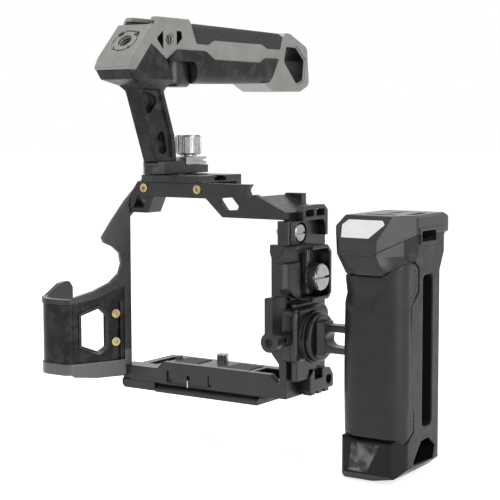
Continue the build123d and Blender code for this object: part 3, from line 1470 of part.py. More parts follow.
# the window's walls are bevelled on both sides
window_bevel = offset(outline(loop_window), 0.9)
rear_loop -= extrude(Plane.YZ.offset(head_x0) * window_bevel, 0.9)
rear_loop -= extrude(Plane.YZ.offset(head_x1 - 0.9) * window_bevel, 0.9)
parts["rear_loop"] = raised * rear_loop
parts["handle_grip"] = raised * (grip - rear_loop)


# ---------------------------------------------------------------------------------------------
# Write one file for each piece
# ---------------------------------------------------------------------------------------------

os.makedirs("parts", exist_ok=True)
for name, piece in parts.items():
    export_step(piece, "parts/" + name + ".step")
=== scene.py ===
import json
import math

import bmesh
import bpy
from mathutils import Matrix, Vector


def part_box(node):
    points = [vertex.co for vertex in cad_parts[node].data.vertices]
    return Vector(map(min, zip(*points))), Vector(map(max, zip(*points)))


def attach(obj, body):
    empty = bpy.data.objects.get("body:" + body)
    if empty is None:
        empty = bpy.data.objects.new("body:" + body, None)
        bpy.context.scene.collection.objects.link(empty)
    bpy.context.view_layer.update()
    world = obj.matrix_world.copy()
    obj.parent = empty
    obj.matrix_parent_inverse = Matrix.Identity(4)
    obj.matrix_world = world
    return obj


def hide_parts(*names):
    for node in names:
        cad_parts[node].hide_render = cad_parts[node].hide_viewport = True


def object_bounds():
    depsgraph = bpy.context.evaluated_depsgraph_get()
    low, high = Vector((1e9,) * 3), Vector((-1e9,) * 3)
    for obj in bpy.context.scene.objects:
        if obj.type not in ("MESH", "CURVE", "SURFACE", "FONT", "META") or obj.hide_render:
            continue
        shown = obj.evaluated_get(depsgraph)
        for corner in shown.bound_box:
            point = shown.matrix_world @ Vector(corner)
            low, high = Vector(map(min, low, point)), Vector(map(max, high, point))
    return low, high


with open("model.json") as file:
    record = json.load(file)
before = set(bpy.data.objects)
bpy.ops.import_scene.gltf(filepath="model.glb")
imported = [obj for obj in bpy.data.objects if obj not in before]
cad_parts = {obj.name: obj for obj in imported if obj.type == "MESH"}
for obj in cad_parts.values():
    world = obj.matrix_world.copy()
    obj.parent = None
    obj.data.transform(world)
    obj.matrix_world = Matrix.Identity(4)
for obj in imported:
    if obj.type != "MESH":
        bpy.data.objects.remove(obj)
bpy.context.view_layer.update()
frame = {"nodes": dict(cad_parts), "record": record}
nodes = frame["nodes"]
MM = 0.001


# ------------------------------------------------------------------------------- colours and nodes

def tint(code):
    """sRGB hex colour as linear RGBA."""
    channels = [int(code[i:i + 2], 16) / 255 for i in (0, 2, 4)]
    return [c / 12.92 if c <= 0.04045 else ((c + 0.055) / 1.055) ** 2.4 for c in channels] + [1.0]


def wire(tree, node, inputs):
    """Give each socket, by name or number, its value or the socket that feeds it."""
    for key, value in inputs.items():
        if isinstance(value, bpy.types.NodeSocket):
            tree.links.new(value, node.inputs[key])
        else:
            node.inputs[key].default_value = value


def add(tree, kind, inputs=None, stops=(), **settings):
    """Add a node with its settings and links; a colour ramp also takes its (position, hex) stops."""
    node = tree.nodes.new(kind)
    for key, value in settings.items():
        setattr(node, key, value)
    for index, (position, code) in enumerate(stops):
        elements = node.color_ramp.elements
        element = elements[index] if index < len(elements) else elements.new(position)
        element.position = position
        element.color = tint(code)
    wire(tree, node, inputs or {})
    return node


def material(name):
    """New material, its tree, its Principled shader and the piece's own coordinates in millimetres."""
    mat = bpy.data.materials.new(name)
    mat.use_nodes = True
    tree = mat.node_tree
    metres = add(tree, "ShaderNodeTexCoord").outputs["Object"]
    place = add(tree, "ShaderNodeVectorMath", {0: metres, 1: (1 / MM, 1 / MM, 1 / MM)}, operation="MULTIPLY")
    return mat, tree, tree.nodes["Principled BSDF"], place.outputs["Vector"]


# ------------------------------------------------------------------------------- patterns

NOISE_LOW, NOISE_HIGH = 0.3, 0.7        # nearly all of a noise texture's values lie between these


def patches(tree, place, size, dark, light, detail=2.0):
    """Colour that drifts between two tints in soft patches, each about `size` millimetres across."""
    cloud = add(tree, "ShaderNodeTexNoise", {"Vector": place, "Scale": 1 / size, "Detail": detail})
    return add(tree, "ShaderNodeValToRGB", {"Fac": cloud.outputs["Fac"]},
               [(NOISE_LOW, dark), (NOISE_HIGH, light)]).outputs["Color"]


def drift(tree, place, size, low, high, detail=3.0):
    """Value that drifts between two limits over about `size` millimetres."""
    cloud = add(tree, "ShaderNodeTexNoise", {"Vector": place, "Scale": 1 / size, "Detail": detail})
    return add(tree, "ShaderNodeMapRange", {
        "Value": cloud.outputs["Fac"], "From Min": NOISE_LOW, "From Max": NOISE_HIGH,
        "To Min": low, "To Max": high}).outputs["Result"]


def stirred(tree, place, size, reach, detail):
    """The coordinates, pushed by up to `reach` millimetres in patches of about `size` millimetres."""
    push = add(tree, "ShaderNodeTexNoise", {"Vector": place, "Scale": 1 / size, "Detail": detail})
    return add(tree, "ShaderNodeVectorMath", {0: push.outputs["Color"], 1: (reach, reach, reach), 2: place},
               operation="MULTIPLY_ADD").outputs["Vector"]


def relief(tree, shader, height, depth, edge):
    """Bump of `depth` millimetres over a surface whose edges are broken by `edge` millimetres."""
    broken = add(tree, "ShaderNodeBevel", {"Radius": edge * MM}, samples=6)
    bump = add(tree, "ShaderNodeBump", {"Height": height, "Distance": depth * MM, "Strength": 1.0,
                                        "Normal": broken.outputs["Normal"]})
    wire(tree, shader, {"Normal": bump.outputs["Normal"]})


def grain(tree, shader, place, size, depth, edge):
    """Random relief with grains of about `size` millimetres.

    Blasting, plating and moulding leave marks finer than 0.1 mm. They are drawn a few times as coarse,
    so that they show.
    """
    pits = add(tree, "ShaderNodeTexNoise", {"Vector": place, "Scale": 1 / size, "Detail": 2.0})
    relief(tree, shader, pits.outputs["Fac"], depth, edge)


def inside(tree, place, low, high):
    """1 inside a box given in millimetres, 0 outside it."""
    middle = [(a + b) / 2 for a, b in zip(low, high)]
    half = [(b - a) / 2 for a, b in zip(low, high)]
    offset = add(tree, "ShaderNodeVectorMath", {0: place, 1: middle}, operation="SUBTRACT").outputs["Vector"]
    size = add(tree, "ShaderNodeVectorMath", {0: offset}, operation="ABSOLUTE").outputs["Vector"]
    share = add(tree, "ShaderNodeVectorMath", {0: size, 1: half}, operation="DIVIDE").outputs["Vector"]
    axes = add(tree, "ShaderNodeSeparateXYZ", {"Vector": share}).outputs
    wide = add(tree, "ShaderNodeMath", {0: axes["X"], 1: axes["Y"]}, operation="MAXIMUM").outputs["Value"]
    most = add(tree, "ShaderNodeMath", {0: wide, 1: axes["Z"]}, operation="MAXIMUM").outputs["Value"]
    return add(tree, "ShaderNodeMath", {0: most, 1: 1.0}, operation="LESS_THAN").outputs["Value"]


def repainted(tree, place, colour, rooms, code):
    """The colour, with another one inside each of the given boxes."""
    for low, high in rooms:
        mix = add(tree, "ShaderNodeMix", {0: inside(tree, place, low, high), 6: colour, 7: tint(code)},
                  data_type="RGBA")
        colour = mix.outputs[2]
    return colour


# ------------------------------------------------------------------------------- finishes

WRAP_PAINTED_HIGHLIGHT = [((-90.0, -60.0, -6.0), (-30.0, -8.0, 20.6))]     # painted highlight: paler band along the chamfer under the grip panel
HANDLE_BASE = [((88.0, -30.0, -30.0), (128.0, 9.0, -7.2))]          # plain foot of the side handle
BLAST_GRAIN = 0.28


def black_anodised_aluminium(name="black_anodised_aluminium", rooms=()):
    """Bead-blasted, hard-anodised plate: near black and satin, with a faint grain and soft edges. Inside the
    boxes in `rooms` it turns paler grey, a painted highlight.
    """
    mat, tree, shader, place = material(name)
    colour = patches(tree, place, 14.0, "303032", "39393b", 3.0)
    # the paler grey 5a5a5c inside `rooms` is a painted highlight
    wire(tree, shader, {"Base Color": repainted(tree, place, colour, rooms, "5a5a5c"), "Metallic": 0.6,
                        "Roughness": drift(tree, place, 3.5, 0.26, 0.36)})
    grain(tree, shader, place, BLAST_GRAIN, 0.005, 0.9)
    return mat


def titanium_grey_aluminium():
    """The same blasted plate anodised in a mid warm grey: a metal sheen without clear reflections."""
    mat, tree, shader, place = material("titanium_grey_aluminium")
    wire(tree, shader, {"Base Color": patches(tree, place, 16.0, "868683", "939390"), "Metallic": 0.85,
                        "Roughness": drift(tree, place, 2.5, 0.42, 0.52)})
    grain(tree, shader, place, BLAST_GRAIN, 0.006, 0.8)
    return mat


def bright_turned_steel():
    """Stainless knobs and screws straight off the lathe: bright, with crisp broken highlights."""
    mat, tree, shader, place = material("bright_turned_steel")
    wire(tree, shader, {"Base Color": patches(tree, place, 5.0, "979795", "adadab"), "Metallic": 0.85,
                        "Roughness": drift(tree, place, 0.7, 0.18, 0.30)})
    grain(tree, shader, place, 0.35, 0.02, 0.25)
    return mat


def blackened_steel():
    """Oil-blackened cap screws: dark metal with small sharp highlights."""
    mat, tree, shader, place = material("blackened_steel")
    wire(tree, shader, {"Base Color": patches(tree, place, 2.0, "202021", "2c2c2e"), "Metallic": 0.9,
                        "Roughness": 0.34})
    grain(tree, shader, place, 0.4, 0.02, 0.2)
    return mat


def passivated_zinc():
    """Yellow-passivated screws: an oil-film sheen that runs from green through gold to pink."""
    mat, tree, shader, place = material("passivated_zinc_screws")
    film = add(tree, "ShaderNodeTexNoise", {"Vector": place, "Scale": 1 / 2.6, "Detail": 1.0})
    colour = add(tree, "ShaderNodeValToRGB", {"Fac": film.outputs["Fac"]},
                 [(0.36, "8a9a58"), (0.47, "b3b474"), (0.55, "b89e78"), (0.66, "a87888")])
    wire(tree, shader, {"Base Color": colour.outputs["Color"], "Metallic": 1.0, "Roughness": 0.28})
    grain(tree, shader, place, 0.4, 0.02, 0.2)
    return mat


def forged_carbon(name, dark, middle, light, flake, rooms=()):
    """Chopped-fibre composite: soft blotches of grey flakes at all angles under a satin skin."""
    mat, tree, shader, place = material(name)
    flakes = add(tree, "ShaderNodeTexVoronoi", {
        "Vector": stirred(tree, place, 6.0, 9.0, 4.0), "Scale": 1 / flake, "Smoothness": 0.35},
        feature="SMOOTH_F1")
    shade = add(tree, "ShaderNodeSeparateColor", {"Color": flakes.outputs["Color"]}).outputs["Red"]
    cloud = add(tree, "ShaderNodeTexNoise", {"Vector": place, "Scale": 1 / 9.0, "Detail": 4.0}).outputs["Fac"]
    both = add(tree, "ShaderNodeMath", {0: shade, 1: 0.45, 2: cloud}, operation="MULTIPLY_ADD")
    colour = add(tree, "ShaderNodeValToRGB", {"Fac": both.outputs["Value"]},
                 [(0.45, dark), (0.72, middle), (0.95, light)]).outputs["Color"]
    rough = add(tree, "ShaderNodeMapRange", {"Value": shade, "To Min": 0.26, "To Max": 0.42})
    wire(tree, shader, {"Base Color": repainted(tree, place, colour, rooms, "161617"),
                        "Roughness": rough.outputs["Result"], "Specular IOR Level": 0.18})
    grain(tree, shader, place, 0.6, 0.012, 0.8)
    return mat


def moulded_rubber():
    """Matt black elastomer with a fine moulded texture: no highlight, only a dull bloom."""
    mat, tree, shader, place = material("moulded_rubber")
    wire(tree, shader, {"Base Color": patches(tree, place, 8.0, "1b1b1c", "232324"),
                        "Roughness": drift(tree, place, 1.5, 0.62, 0.78, 2.0)})
    grit = add(tree, "ShaderNodeTexVoronoi", {"Vector": place, "Scale": 1 / 0.7})
    relief(tree, shader, grit.outputs["Distance"], 0.06, 0.5)
    return mat


def moulded_abs_and_painted_shade():
    """Smooth black plastic of the record button: an even, soft shine. The recess liners use it as painted
    shade.
    """
    mat, tree, shader, place = material("moulded_abs_and_painted_shade")
    wire(tree, shader, {"Base Color": patches(tree, place, 6.0, "141415", "1a1a1b", 1.0), "Roughness": 0.3})
    grain(tree, shader, place, 0.9, 0.02, 0.3)
    return mat


def grained_leather():
    """Black pebble-grained leather: a low sheen that breaks up over the pebbles."""
    mat, tree, shader, place = material("grained_leather")
    uneven = stirred(tree, place, 1.25, 0.7, 2.0)
    pebble = add(tree, "ShaderNodeTexVoronoi", {"Vector": uneven, "Scale": 1 / 0.9}, feature="SMOOTH_F1")
    wire(tree, shader, {"Base Color": patches(tree, place, 9.0, "141414", "1e1e1e", 3.0),
                        "Roughness": drift(tree, place, 12.0, 0.36, 0.48),
                        "Specular IOR Level": 0.33, "Sheen Weight": 0.03})
    relief(tree, shader, pebble.outputs["Distance"], 0.11, 0.3)
    return mat


def satin_white_plate():
    """Blank plate of white painted plastic: flat white with little shine."""
    mat, tree, shader, place = material("satin_white_plate")
    wire(tree, shader, {"Base Color": patches(tree, place, 7.0, "f2f2f0", "fafaf8"), "Roughness": 0.42})
    grain(tree, shader, place, 1.2, 0.01, 0.2)
    return mat


def waxed_thread():
    """Black waxed thread of the stitches: duller and darker than the leather round it."""
    mat, tree, shader, place = material("waxed_thread")
    wire(tree, shader, {"Base Color": patches(tree, place, 1.0, "0e0e0e", "161616"), "Roughness": 0.6})
    return mat


FINISH = {
    "frame_black": black_anodised_aluminium(),
    "titanium_grey": titanium_grey_aluminium(),
    "bright_steel": bright_turned_steel(),
    "dark_steel": blackened_steel(),
    "rainbow_screw": passivated_zinc(),
    "forged_carbon": forged_carbon("forged_carbon", "121213", "1d1d1e", "353536", 4.5),
    "pad_rubber": moulded_rubber(),
    "button_black": moulded_abs_and_painted_shade(),
    "leather_black": grained_leather(),
    "blank_plate": satin_white_plate(),
}
OTHER_FINISH = {                # nodes that look different from the rest of their slot
    "handle_core": forged_carbon("forged_carbon_pale", "171718", "222223", "363637", 4.5, HANDLE_BASE),
    "base_insert": forged_carbon("forged_carbon_patterned", "2c2c2d", "4c4c4d", "858585", 4.0),
    # the wrap's lower edge carries a painted highlight: a paler band
    "grip_wrap": black_anodised_aluminium("black_anodised_with_painted_highlight_lower_edge", WRAP_PAINTED_HIGHLIGHT),
}
for part in frame["record"]["subparts"]:
    node = nodes[part["node"]]
    node.data.materials.clear()
    node.data.materials.append(OTHER_FINISH.get(part["node"], FINISH[part["material_slot"]]))


# ------------------------------------------------------------------------------- mesh helpers

BLOCK_FACES = [(0, 1, 3, 2), (4, 6, 7, 5), (0, 4, 5, 1), (2, 3, 7, 6), (0, 2, 6, 4), (1, 5, 7, 3)]


def new_object(name, data):
    """Object at the origin, in the scene."""
    thing = bpy.data.objects.new(name, data)
    bpy.context.scene.collection.objects.link(thing)
    return thing


def carry(piece, body):
    """Let a finished piece move with a body."""
    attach(piece, body)


def solid_piece(name, points, faces, finish):
    """Closed mesh from points in millimetres, with its faces outwards."""
    mesh = bpy.data.meshes.new(name)
    mesh.from_pydata([tuple(c * MM for c in point) for point in points], [], faces)
    piece = new_object(name, mesh)
    work = bmesh.new()
    work.from_mesh(mesh)
    bmesh.ops.remove_doubles(work, verts=work.verts, dist=1e-6)
    bmesh.ops.recalc_face_normals(work, faces=work.faces)
    work.to_mesh(mesh)
    work.free()
    mesh.materials.append(finish)
    return piece


def block(name, xs, ys, zs, finish):
    """Box between two X, two Y and two Z limits."""
    return solid_piece(name, [(x, y, z) for x in xs for y in ys for z in zs], BLOCK_FACES, finish)


def skin(rings, closed):
    """Faces from each ring of points to the next; `closed` joins the last ring to the first."""
    count = len(rings[0])
    steps = [(level, (level + 1) % len(rings)) for level in range(len(rings) if closed else len(rings) - 1)]
    return [(a * count + i, a * count + (i + 1) % count, b * count + (i + 1) % count, b * count + i)
            for a, b in steps for i in range(count)]


def capped(rings):
    """The same faces on an open row of rings, with a face on its first and on its last ring."""
    count = len(rings[0])
    last = (len(rings) - 1) * count
    return skin(rings, False) + [tuple(range(count)), tuple(range(last, last + count))]


def baked_mesh(thing):
    """Plain mesh of an object as its modifiers leave it."""
    return bpy.data.meshes.new_from_object(thing.evaluated_get(bpy.context.evaluated_depsgraph_get()))


def size_tree(name, sizes):
    """Geometry node tree with a named input for each size; also gives the inputs' identifiers."""
    tree = bpy.data.node_groups.new(name, "GeometryNodeTree")
    tree.interface.new_socket("Geometry", in_out="INPUT", socket_type="NodeSocketGeometry")
    keys = {}
    for label, kind in sizes.items():
        socket = tree.interface.new_socket(label, in_out="INPUT", socket_type="NodeSocket" + kind)
        keys[label] = socket.identifier
    tree.interface.new_socket("Geometry", in_out="OUTPUT", socket_type="NodeSocketGeometry")
    return tree, keys


def end_tree(tree, instances, finish, turn=None):
    """Close a tree: real copies, placed and turned if that is given, with their material."""
    real = add(tree, "GeometryNodeRealizeInstances", {"Geometry": instances}).outputs["Geometry"]
    if turn:
        real = add(tree, "GeometryNodeTransform", {"Geometry": real, **turn}).outputs["Geometry"]
    dressed = add(tree, "GeometryNodeSetMaterial", {"Geometry": real, "Material": finish})
    add(tree, "NodeGroupOutput", {"Geometry": dressed.outputs["Geometry"]})


def grown(name, carrier_data, tree, keys, values):
    """Plain mesh object that a geometry tree makes of its carrier with the given input values."""
    carrier = new_object(name + "_carrier", carrier_data)
    growth = carrier.modifiers.new(name, "NODES")
    growth.node_group = tree
    for label, value in values.items():
        growth[keys[label]] = value
    mesh = baked_mesh(carrier)
    bpy.data.objects.remove(carrier)
    return new_object(name, mesh)


def along(points, value, key=0, out=1):
    """Piecewise linear lookup in a list of pairs ordered by their key."""
    for low, high in zip(points, points[1:]):
        if value <= high[key]:
            part = (value - low[key]) / (high[key] - low[key])
            return low[out] + (high[out] - low[out]) * max(0.0, part)
    return points[-1][out]


def ease(value):
    """Smooth step from 0 to 1."""
    value = min(1.0, max(0.0, value))
    return value * value * (3.0 - 2.0 * value)


# ------------------------------------------------------------------------------- leather sleeve

SLEEVE_INNER, SLEEVE_FACE = 92.0, 125.8        # X of the sleeve's inner side and of its outer face
SLEEVE_FRONT, SLEEVE_BACK = -28.0, 8.0         # Y of its front and of its rear edge
INNER_ROUND, OUTER_ROUND = 11.0, 9.0           # radii of its two front corners
SLEEVE_BOTTOM, SLEEVE_SEAM = -6.4, 68.9        # Z of its lower and upper edges on the front
FLAP_TOP = 75.4                                # Z of its upper edge on the outer face
RISE_FROM = 115.6                              # X at which the upper edge starts to rise to the flap
HIDE, FLAP_HIDE = 1.7, 0.95                    # thickness of leather and padding, and of the flap
ARM_WAY = ((88.0, 95.0), (-15.4, -5.6), (27.9, 43.1))       # X, Y and Z limits of the arm's hole
FLAP_EDGE = [(-14.7, -4.2), (-14.7, 4.8), (-17.2, 8.4), (-18.4, 11.0), (-18.8, 22.0), (-17.5, 54.8),
             (-14.2, 58.4), (-10.3, 61.9), (-10.3, 72.0), (-13.6, 74.8)]      # (Y, Z) of the flap's edge
FLAP_FOOT = [(-26.8, SLEEVE_BOTTOM), (-24.8, SLEEVE_BOTTOM - 1.0), (-23.0, -9.4), (-14.0, -4.0)]
FLAP_FOOT_FROM = 120.0                         # X past which the lower edge follows FLAP_FOOT
CROWN, CROWN_LENGTH = 0.35, 60.0               # bulge down the front
DENT, DENT_LIP = 1.55, 0.28                    # depth of the forefinger's dent, height of the lip beside it
DENT_SIDE = (117.5, 68.0, 0.030)               # its outer side, a parabola: furthest X, Z there, and bend
DENT_FOOT = (107.0, 50.2, 0.02)                # its foot, another one: X in the middle, lowest Z, and bend
MOST_OUT = 0.5                                 # room that the leather has beyond its plan
RIM_ROLL = (0.35, 0.08)                        # how far the two outermost rows roll in
COLUMNS, WRAP_COLUMNS, ROWS = 132, 112, 150    # grid of its face; the flap has the last columns
THIN_FROM = WRAP_COLUMNS - 8                   # column past which the hide has the flap's thickness

QUARTER = math.pi / 2
FRONT_START = SLEEVE_BACK - SLEEVE_FRONT - INNER_ROUND + INNER_ROUND * QUARTER
FRONT_WIDTH = SLEEVE_FACE - OUTER_ROUND - SLEEVE_INNER - INNER_ROUND
CORNER_END = FRONT_START + FRONT_WIDTH + OUTER_ROUND * QUARTER
WRAP_END = CORNER_END - 1.2                    # length round the plan at which the flap starts


def sleeve_plan(way):
    """Point and outward normal of the sleeve's plan, at a length along it from its rear inner edge."""
    straight = SLEEVE_BACK - SLEEVE_FRONT - INNER_ROUND
    if way < straight:
        return (SLEEVE_INNER, SLEEVE_BACK - way), (-1.0, 0.0)
    way -= straight
    if way < INNER_ROUND * QUARTER:
        turn = way / INNER_ROUND
        x, y = -math.cos(turn), -math.sin(turn)
        return (SLEEVE_INNER + INNER_ROUND * (1 + x), SLEEVE_FRONT + INNER_ROUND * (1 + y)), (x, y)
    way -= INNER_ROUND * QUARTER
    if way < FRONT_WIDTH:
        return (SLEEVE_INNER + INNER_ROUND + way, SLEEVE_FRONT), (0.0, -1.0)
    way -= FRONT_WIDTH
    if way < OUTER_ROUND * QUARTER:
        turn = way / OUTER_ROUND
        x, y = math.sin(turn), -math.cos(turn)
        return (SLEEVE_FACE + OUTER_ROUND * (x - 1), SLEEVE_FRONT + OUTER_ROUND * (1 + y)), (x, y)
    return (SLEEVE_FACE, SLEEVE_FRONT + OUTER_ROUND + way - OUTER_ROUND * QUARTER), (1.0, 0.0)


def flap_way(y):
    """Length round the plan of a point on the outer face."""
    return CORNER_END + y - (SLEEVE_FRONT + OUTER_ROUND)


def sleeve_swell(way, z):
    """How far the leather stands out: a crown down its length, less the forefinger's dent.

    The dent and its lip fade in over the lengths that divide, from the places that are taken away.
    """
    across = way - FRONT_START + SLEEVE_INNER + INNER_ROUND      # X along the front, carried round corners
    crown = CROWN * math.sin(math.pi * min(1.0, max(0.0, (z - SLEEVE_BOTTOM) / CROWN_LENGTH)))
    side = DENT_SIDE[0] - DENT_SIDE[2] * max(0.0, DENT_SIDE[1] - z) ** 2
    foot = DENT_FOOT[1] + DENT_FOOT[2] * (across - DENT_FOOT[0]) ** 2
    width = ease((side - across) / 5.0) * ease((across - 84.0) / 10.0)
    height = ease((z - foot) / 3.2) * (1.0 - 0.8 * ease((z - 58.0) / 10.0))
    lip = DENT_LIP * math.exp(-((across - side - 1.5) / 2.4) ** 2) * ease((z - 47.0) / 6.0)
    return min(crown + lip - DENT * width * height, MOST_OUT)


def sleeve_limits(way):
    """Lower and upper Z of the wrapped part of the sleeve."""
    (x, y), _ = sleeve_plan(way)
    rise = (FLAP_TOP - SLEEVE_SEAM) / (SLEEVE_FACE - RISE_FROM)
    top = SLEEVE_SEAM + max(0.0, x - RISE_FROM) * rise
    low = along(FLAP_FOOT, y) if x > FLAP_FOOT_FROM else SLEEVE_BOTTOM
    return low, top


def sleeve_spot(column, row):
    """Length round the plan, and Z, of a point of the sleeve's grid."""
    up = row / ROWS
    if column <= WRAP_COLUMNS:
        way = WRAP_END * column / WRAP_COLUMNS
        low, top = sleeve_limits(way)
        return way, low + (top - low) * up
    (_, y_near), _ = sleeve_plan(WRAP_END)
    low, top = sleeve_limits(WRAP_END)
    z_near = low + (top - low) * up
    z_far = FLAP_EDGE[0][1] + (FLAP_EDGE[-1][1] - FLAP_EDGE[0][1]) * up
    part = (column - WRAP_COLUMNS) / (COLUMNS - WRAP_COLUMNS)
    y = y_near + (along(FLAP_EDGE, z_far, 1, 0) - y_near) * part
    return flap_way(y), z_near + (z_far - z_near) * part


def raised(way, z, out):
    """Point that stands out from the sleeve's plan by an amount."""
    (x, y), normal = sleeve_plan(way)
    return x + normal[0] * out, y + normal[1] * out, z


def sleeve_point(column, row):
    """Point of the sleeve's face."""
    way, z = sleeve_spot(column, row)
    to_edge = min(row, ROWS - row, column, COLUMNS - column)
    roll = RIM_ROLL[to_edge] if to_edge < len(RIM_ROLL) else 0.0
    return raised(way, z, sleeve_swell(way, z) - roll)


def lining_point(column, row):
    """Point of the sleeve's hidden side, behind the face by the thickness of the hide."""
    x, y, z = sleeve_point(column, row)
    way = WRAP_END * column / WRAP_COLUMNS if column <= WRAP_COLUMNS else CORNER_END
    hide = HIDE if column <= THIN_FROM else FLAP_HIDE
    depth = hide + min(0.0, sleeve_swell(way, z))
    _, normal = sleeve_plan(way)
    return x - normal[0] * depth, y - normal[1] * depth, z


def leather_sleeve():
    """Padded leather sleeve: wraps the front and the inner side, with a flap on the outer face."""
    grid = [(column, row) for column in range(COLUMNS + 1) for row in range(ROWS + 1)]
    points = [sleeve_point(*spot) for spot in grid] + [lining_point(*spot) for spot in grid]

    def at(column, row, layer=0):
        return layer * len(grid) + column * (ROWS + 1) + row

    faces = [(at(column, row, layer), at(column + 1, row, layer),
              at(column + 1, row + 1, layer), at(column, row + 1, layer))
             for column in range(COLUMNS) for row in range(ROWS) for layer in (0, 1)]
    faces += [(at(column, row), at(column + 1, row), at(column + 1, row, 1), at(column, row, 1))
              for column in range(COLUMNS) for row in (0, ROWS)]
    faces += [(at(column, row), at(column, row + 1), at(column, row + 1, 1), at(column, row, 1))
              for row in range(ROWS) for column in (0, COLUMNS)]
    sleeve = solid_piece("leather_sleeve", points, faces, FINISH["leather_black"])
    cutter = block("arm_way", *ARM_WAY, FINISH["leather_black"])
    cut = sleeve.modifiers.new("arm", "BOOLEAN")
    cut.operation, cut.object, cut.solver = "DIFFERENCE", cutter, "EXACT"
    mesh = baked_mesh(sleeve)
    sleeve.modifiers.clear()
    sleeve.data = mesh
    bpy.data.objects.remove(cutter)
    mesh.shade_smooth()
    mesh.set_sharp_from_angle(angle=math.radians(40.0))
    carry(sleeve, "side_handle")
    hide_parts("leather_pad")


SEAM_FROM = 22.0                # length round the plan at which the stitches start
SEAM_DROP = 2.3                 # stitches below the upper edge
SEAM_STEPS = 60
STITCH_PITCH, STITCH = 2.3, (0.42, 0.34, 1.75)      # spacing, and width, height and length of one
STITCH_LIFT = 0.02
FLAP_SEAM = [(-16.6, 73.0), (-13.4, 71.4), (-12.9, 70.6), (-12.9, 63.2), (-16.6, 59.4), (-20.3, 54.9),
             (-21.4, 22.0), (-20.6, 10.0), (-17.6, 5.6), (-17.4, -3.0)]       # (Y, Z) just inside its edge


def seam_path():
    """Row of stitches: just below the upper edge, then just inside the flap's edge."""
    ways = [SEAM_FROM + (WRAP_END - SEAM_FROM) * step / SEAM_STEPS for step in range(SEAM_STEPS + 1)]
    spots = [(way, sleeve_limits(way)[1] - SEAM_DROP) for way in ways]
    spots += [(flap_way(y), z) for y, z in FLAP_SEAM]
    return [raised(way, z, sleeve_swell(way, z) + STITCH_LIFT) for way, z in spots]


def sleeve_stitches():
    """Stitches laid end to end along the sleeve's seam."""
    tree, keys = size_tree("sleeve_stitches", {"Spacing": "Float", "Stitch Size": "Vector"})
    given = add(tree, "NodeGroupInput").outputs
    dots = add(tree, "GeometryNodeCurveToPoints", {"Curve": given["Geometry"], "Length": given["Spacing"]},
               mode="LENGTH").outputs
    bead = add(tree, "GeometryNodeMeshUVSphere", {"Segments": 8, "Rings": 6, "Radius": 0.5})
    laid = add(tree, "GeometryNodeInstanceOnPoints", {
        "Points": dots["Points"], "Instance": bead.outputs["Mesh"], "Rotation": dots["Rotation"],
        "Scale": given["Stitch Size"]})
    end_tree(tree, laid.outputs["Instances"], waxed_thread())
    curve = bpy.data.curves.new("sleeve_seam", "CURVE")
    curve.dimensions = "3D"
    spline = curve.splines.new("POLY")
    path = seam_path()
    spline.points.add(len(path) - 1)
    for dot, point in zip(spline.points, path):
        dot.co = [c * MM for c in point] + [1.0]
    values = {"Spacing": STITCH_PITCH * MM, "Stitch Size": [side * MM for side in STITCH]}
    piece = grown("sleeve_stitches", curve, tree, keys, values)
    piece.data.shade_smooth()
    carry(piece, "side_handle")


# ------------------------------------------------------------------------------- knurls and threads

NOTCHES = 3                     # gaps in the handle knob's rim, a third of a turn apart
RIDGE_WIDTH = 0.2
ALL_ROUND = 2.0                 # a `skip` that no cosine reaches, so that every ridge stays


def knurl(name, count, radius, length, place, axis, body, skip=ALL_ROUND):
    """Straight knurl: ridges round a knob's rim, along its axis, left out where the rim is notched."""
    tree, keys = size_tree(name, {"Count": "Int", "Radius": "Float", "Length": "Float", "Width": "Float",
                                  "Skip": "Float", "Place": "Vector", "Turn": "Vector"})
    given = add(tree, "NodeGroupInput").outputs
    rim = add(tree, "GeometryNodeMeshCircle", {"Vertices": given["Count"], "Radius": given["Radius"]})
    spot = add(tree, "GeometryNodeInputPosition").outputs["Position"]
    facing = add(tree, "FunctionNodeAlignRotationToVector", {"Vector": spot}, axis="X")
    axes = add(tree, "ShaderNodeSeparateXYZ", {"Vector": spot}).outputs
    angle = add(tree, "ShaderNodeMath", {0: axes["Y"], 1: axes["X"]}, operation="ARCTAN2").outputs["Value"]
    lobe = add(tree, "ShaderNodeMath", {0: angle, 1: float(NOTCHES), 2: -math.pi / NOTCHES},
               operation="MULTIPLY_ADD").outputs["Value"]
    nearness = add(tree, "ShaderNodeMath", {0: lobe}, operation="COSINE").outputs["Value"]
    kept = add(tree, "ShaderNodeMath", {0: nearness, 1: given["Skip"]}, operation="LESS_THAN")
    bar = add(tree, "GeometryNodeMeshCylinder", {"Vertices": 6, "Side Segments": 1, "Radius": given["Width"],
                                                 "Depth": given["Length"]})
    laid = add(tree, "GeometryNodeInstanceOnPoints", {
        "Points": rim.outputs["Mesh"], "Selection": kept.outputs["Value"], "Instance": bar.outputs["Mesh"],
        "Rotation": facing.outputs["Rotation"]})
    end_tree(tree, laid.outputs["Instances"], FINISH["bright_steel"],
             {"Translation": given["Place"], "Rotation": given["Turn"]})
    turn = {"x": (0.0, QUARTER, 0.0), "z": (0.0, 0.0, 0.0)}[axis]
    values = {"Count": count, "Radius": radius * MM, "Length": length * MM, "Width": RIDGE_WIDTH * MM,
              "Skip": skip, "Place": [c * MM for c in place], "Turn": turn}
    piece = grown(name, bpy.data.meshes.new(name + "_rim"), tree, keys, values)
    carry(piece, body)


TURN_STEPS = 20                 # points in one turn of a thread
FLANK = 0.42                    # half the foot of the ridge, as a share of the pitch
CREST = 0.38                    # its height, as a share of the pitch
ROOT_BITE = 0.05                # how far its foot sinks into the wall of the bore
THREAD_START = 0.5              # depth of the first turn below the mouth


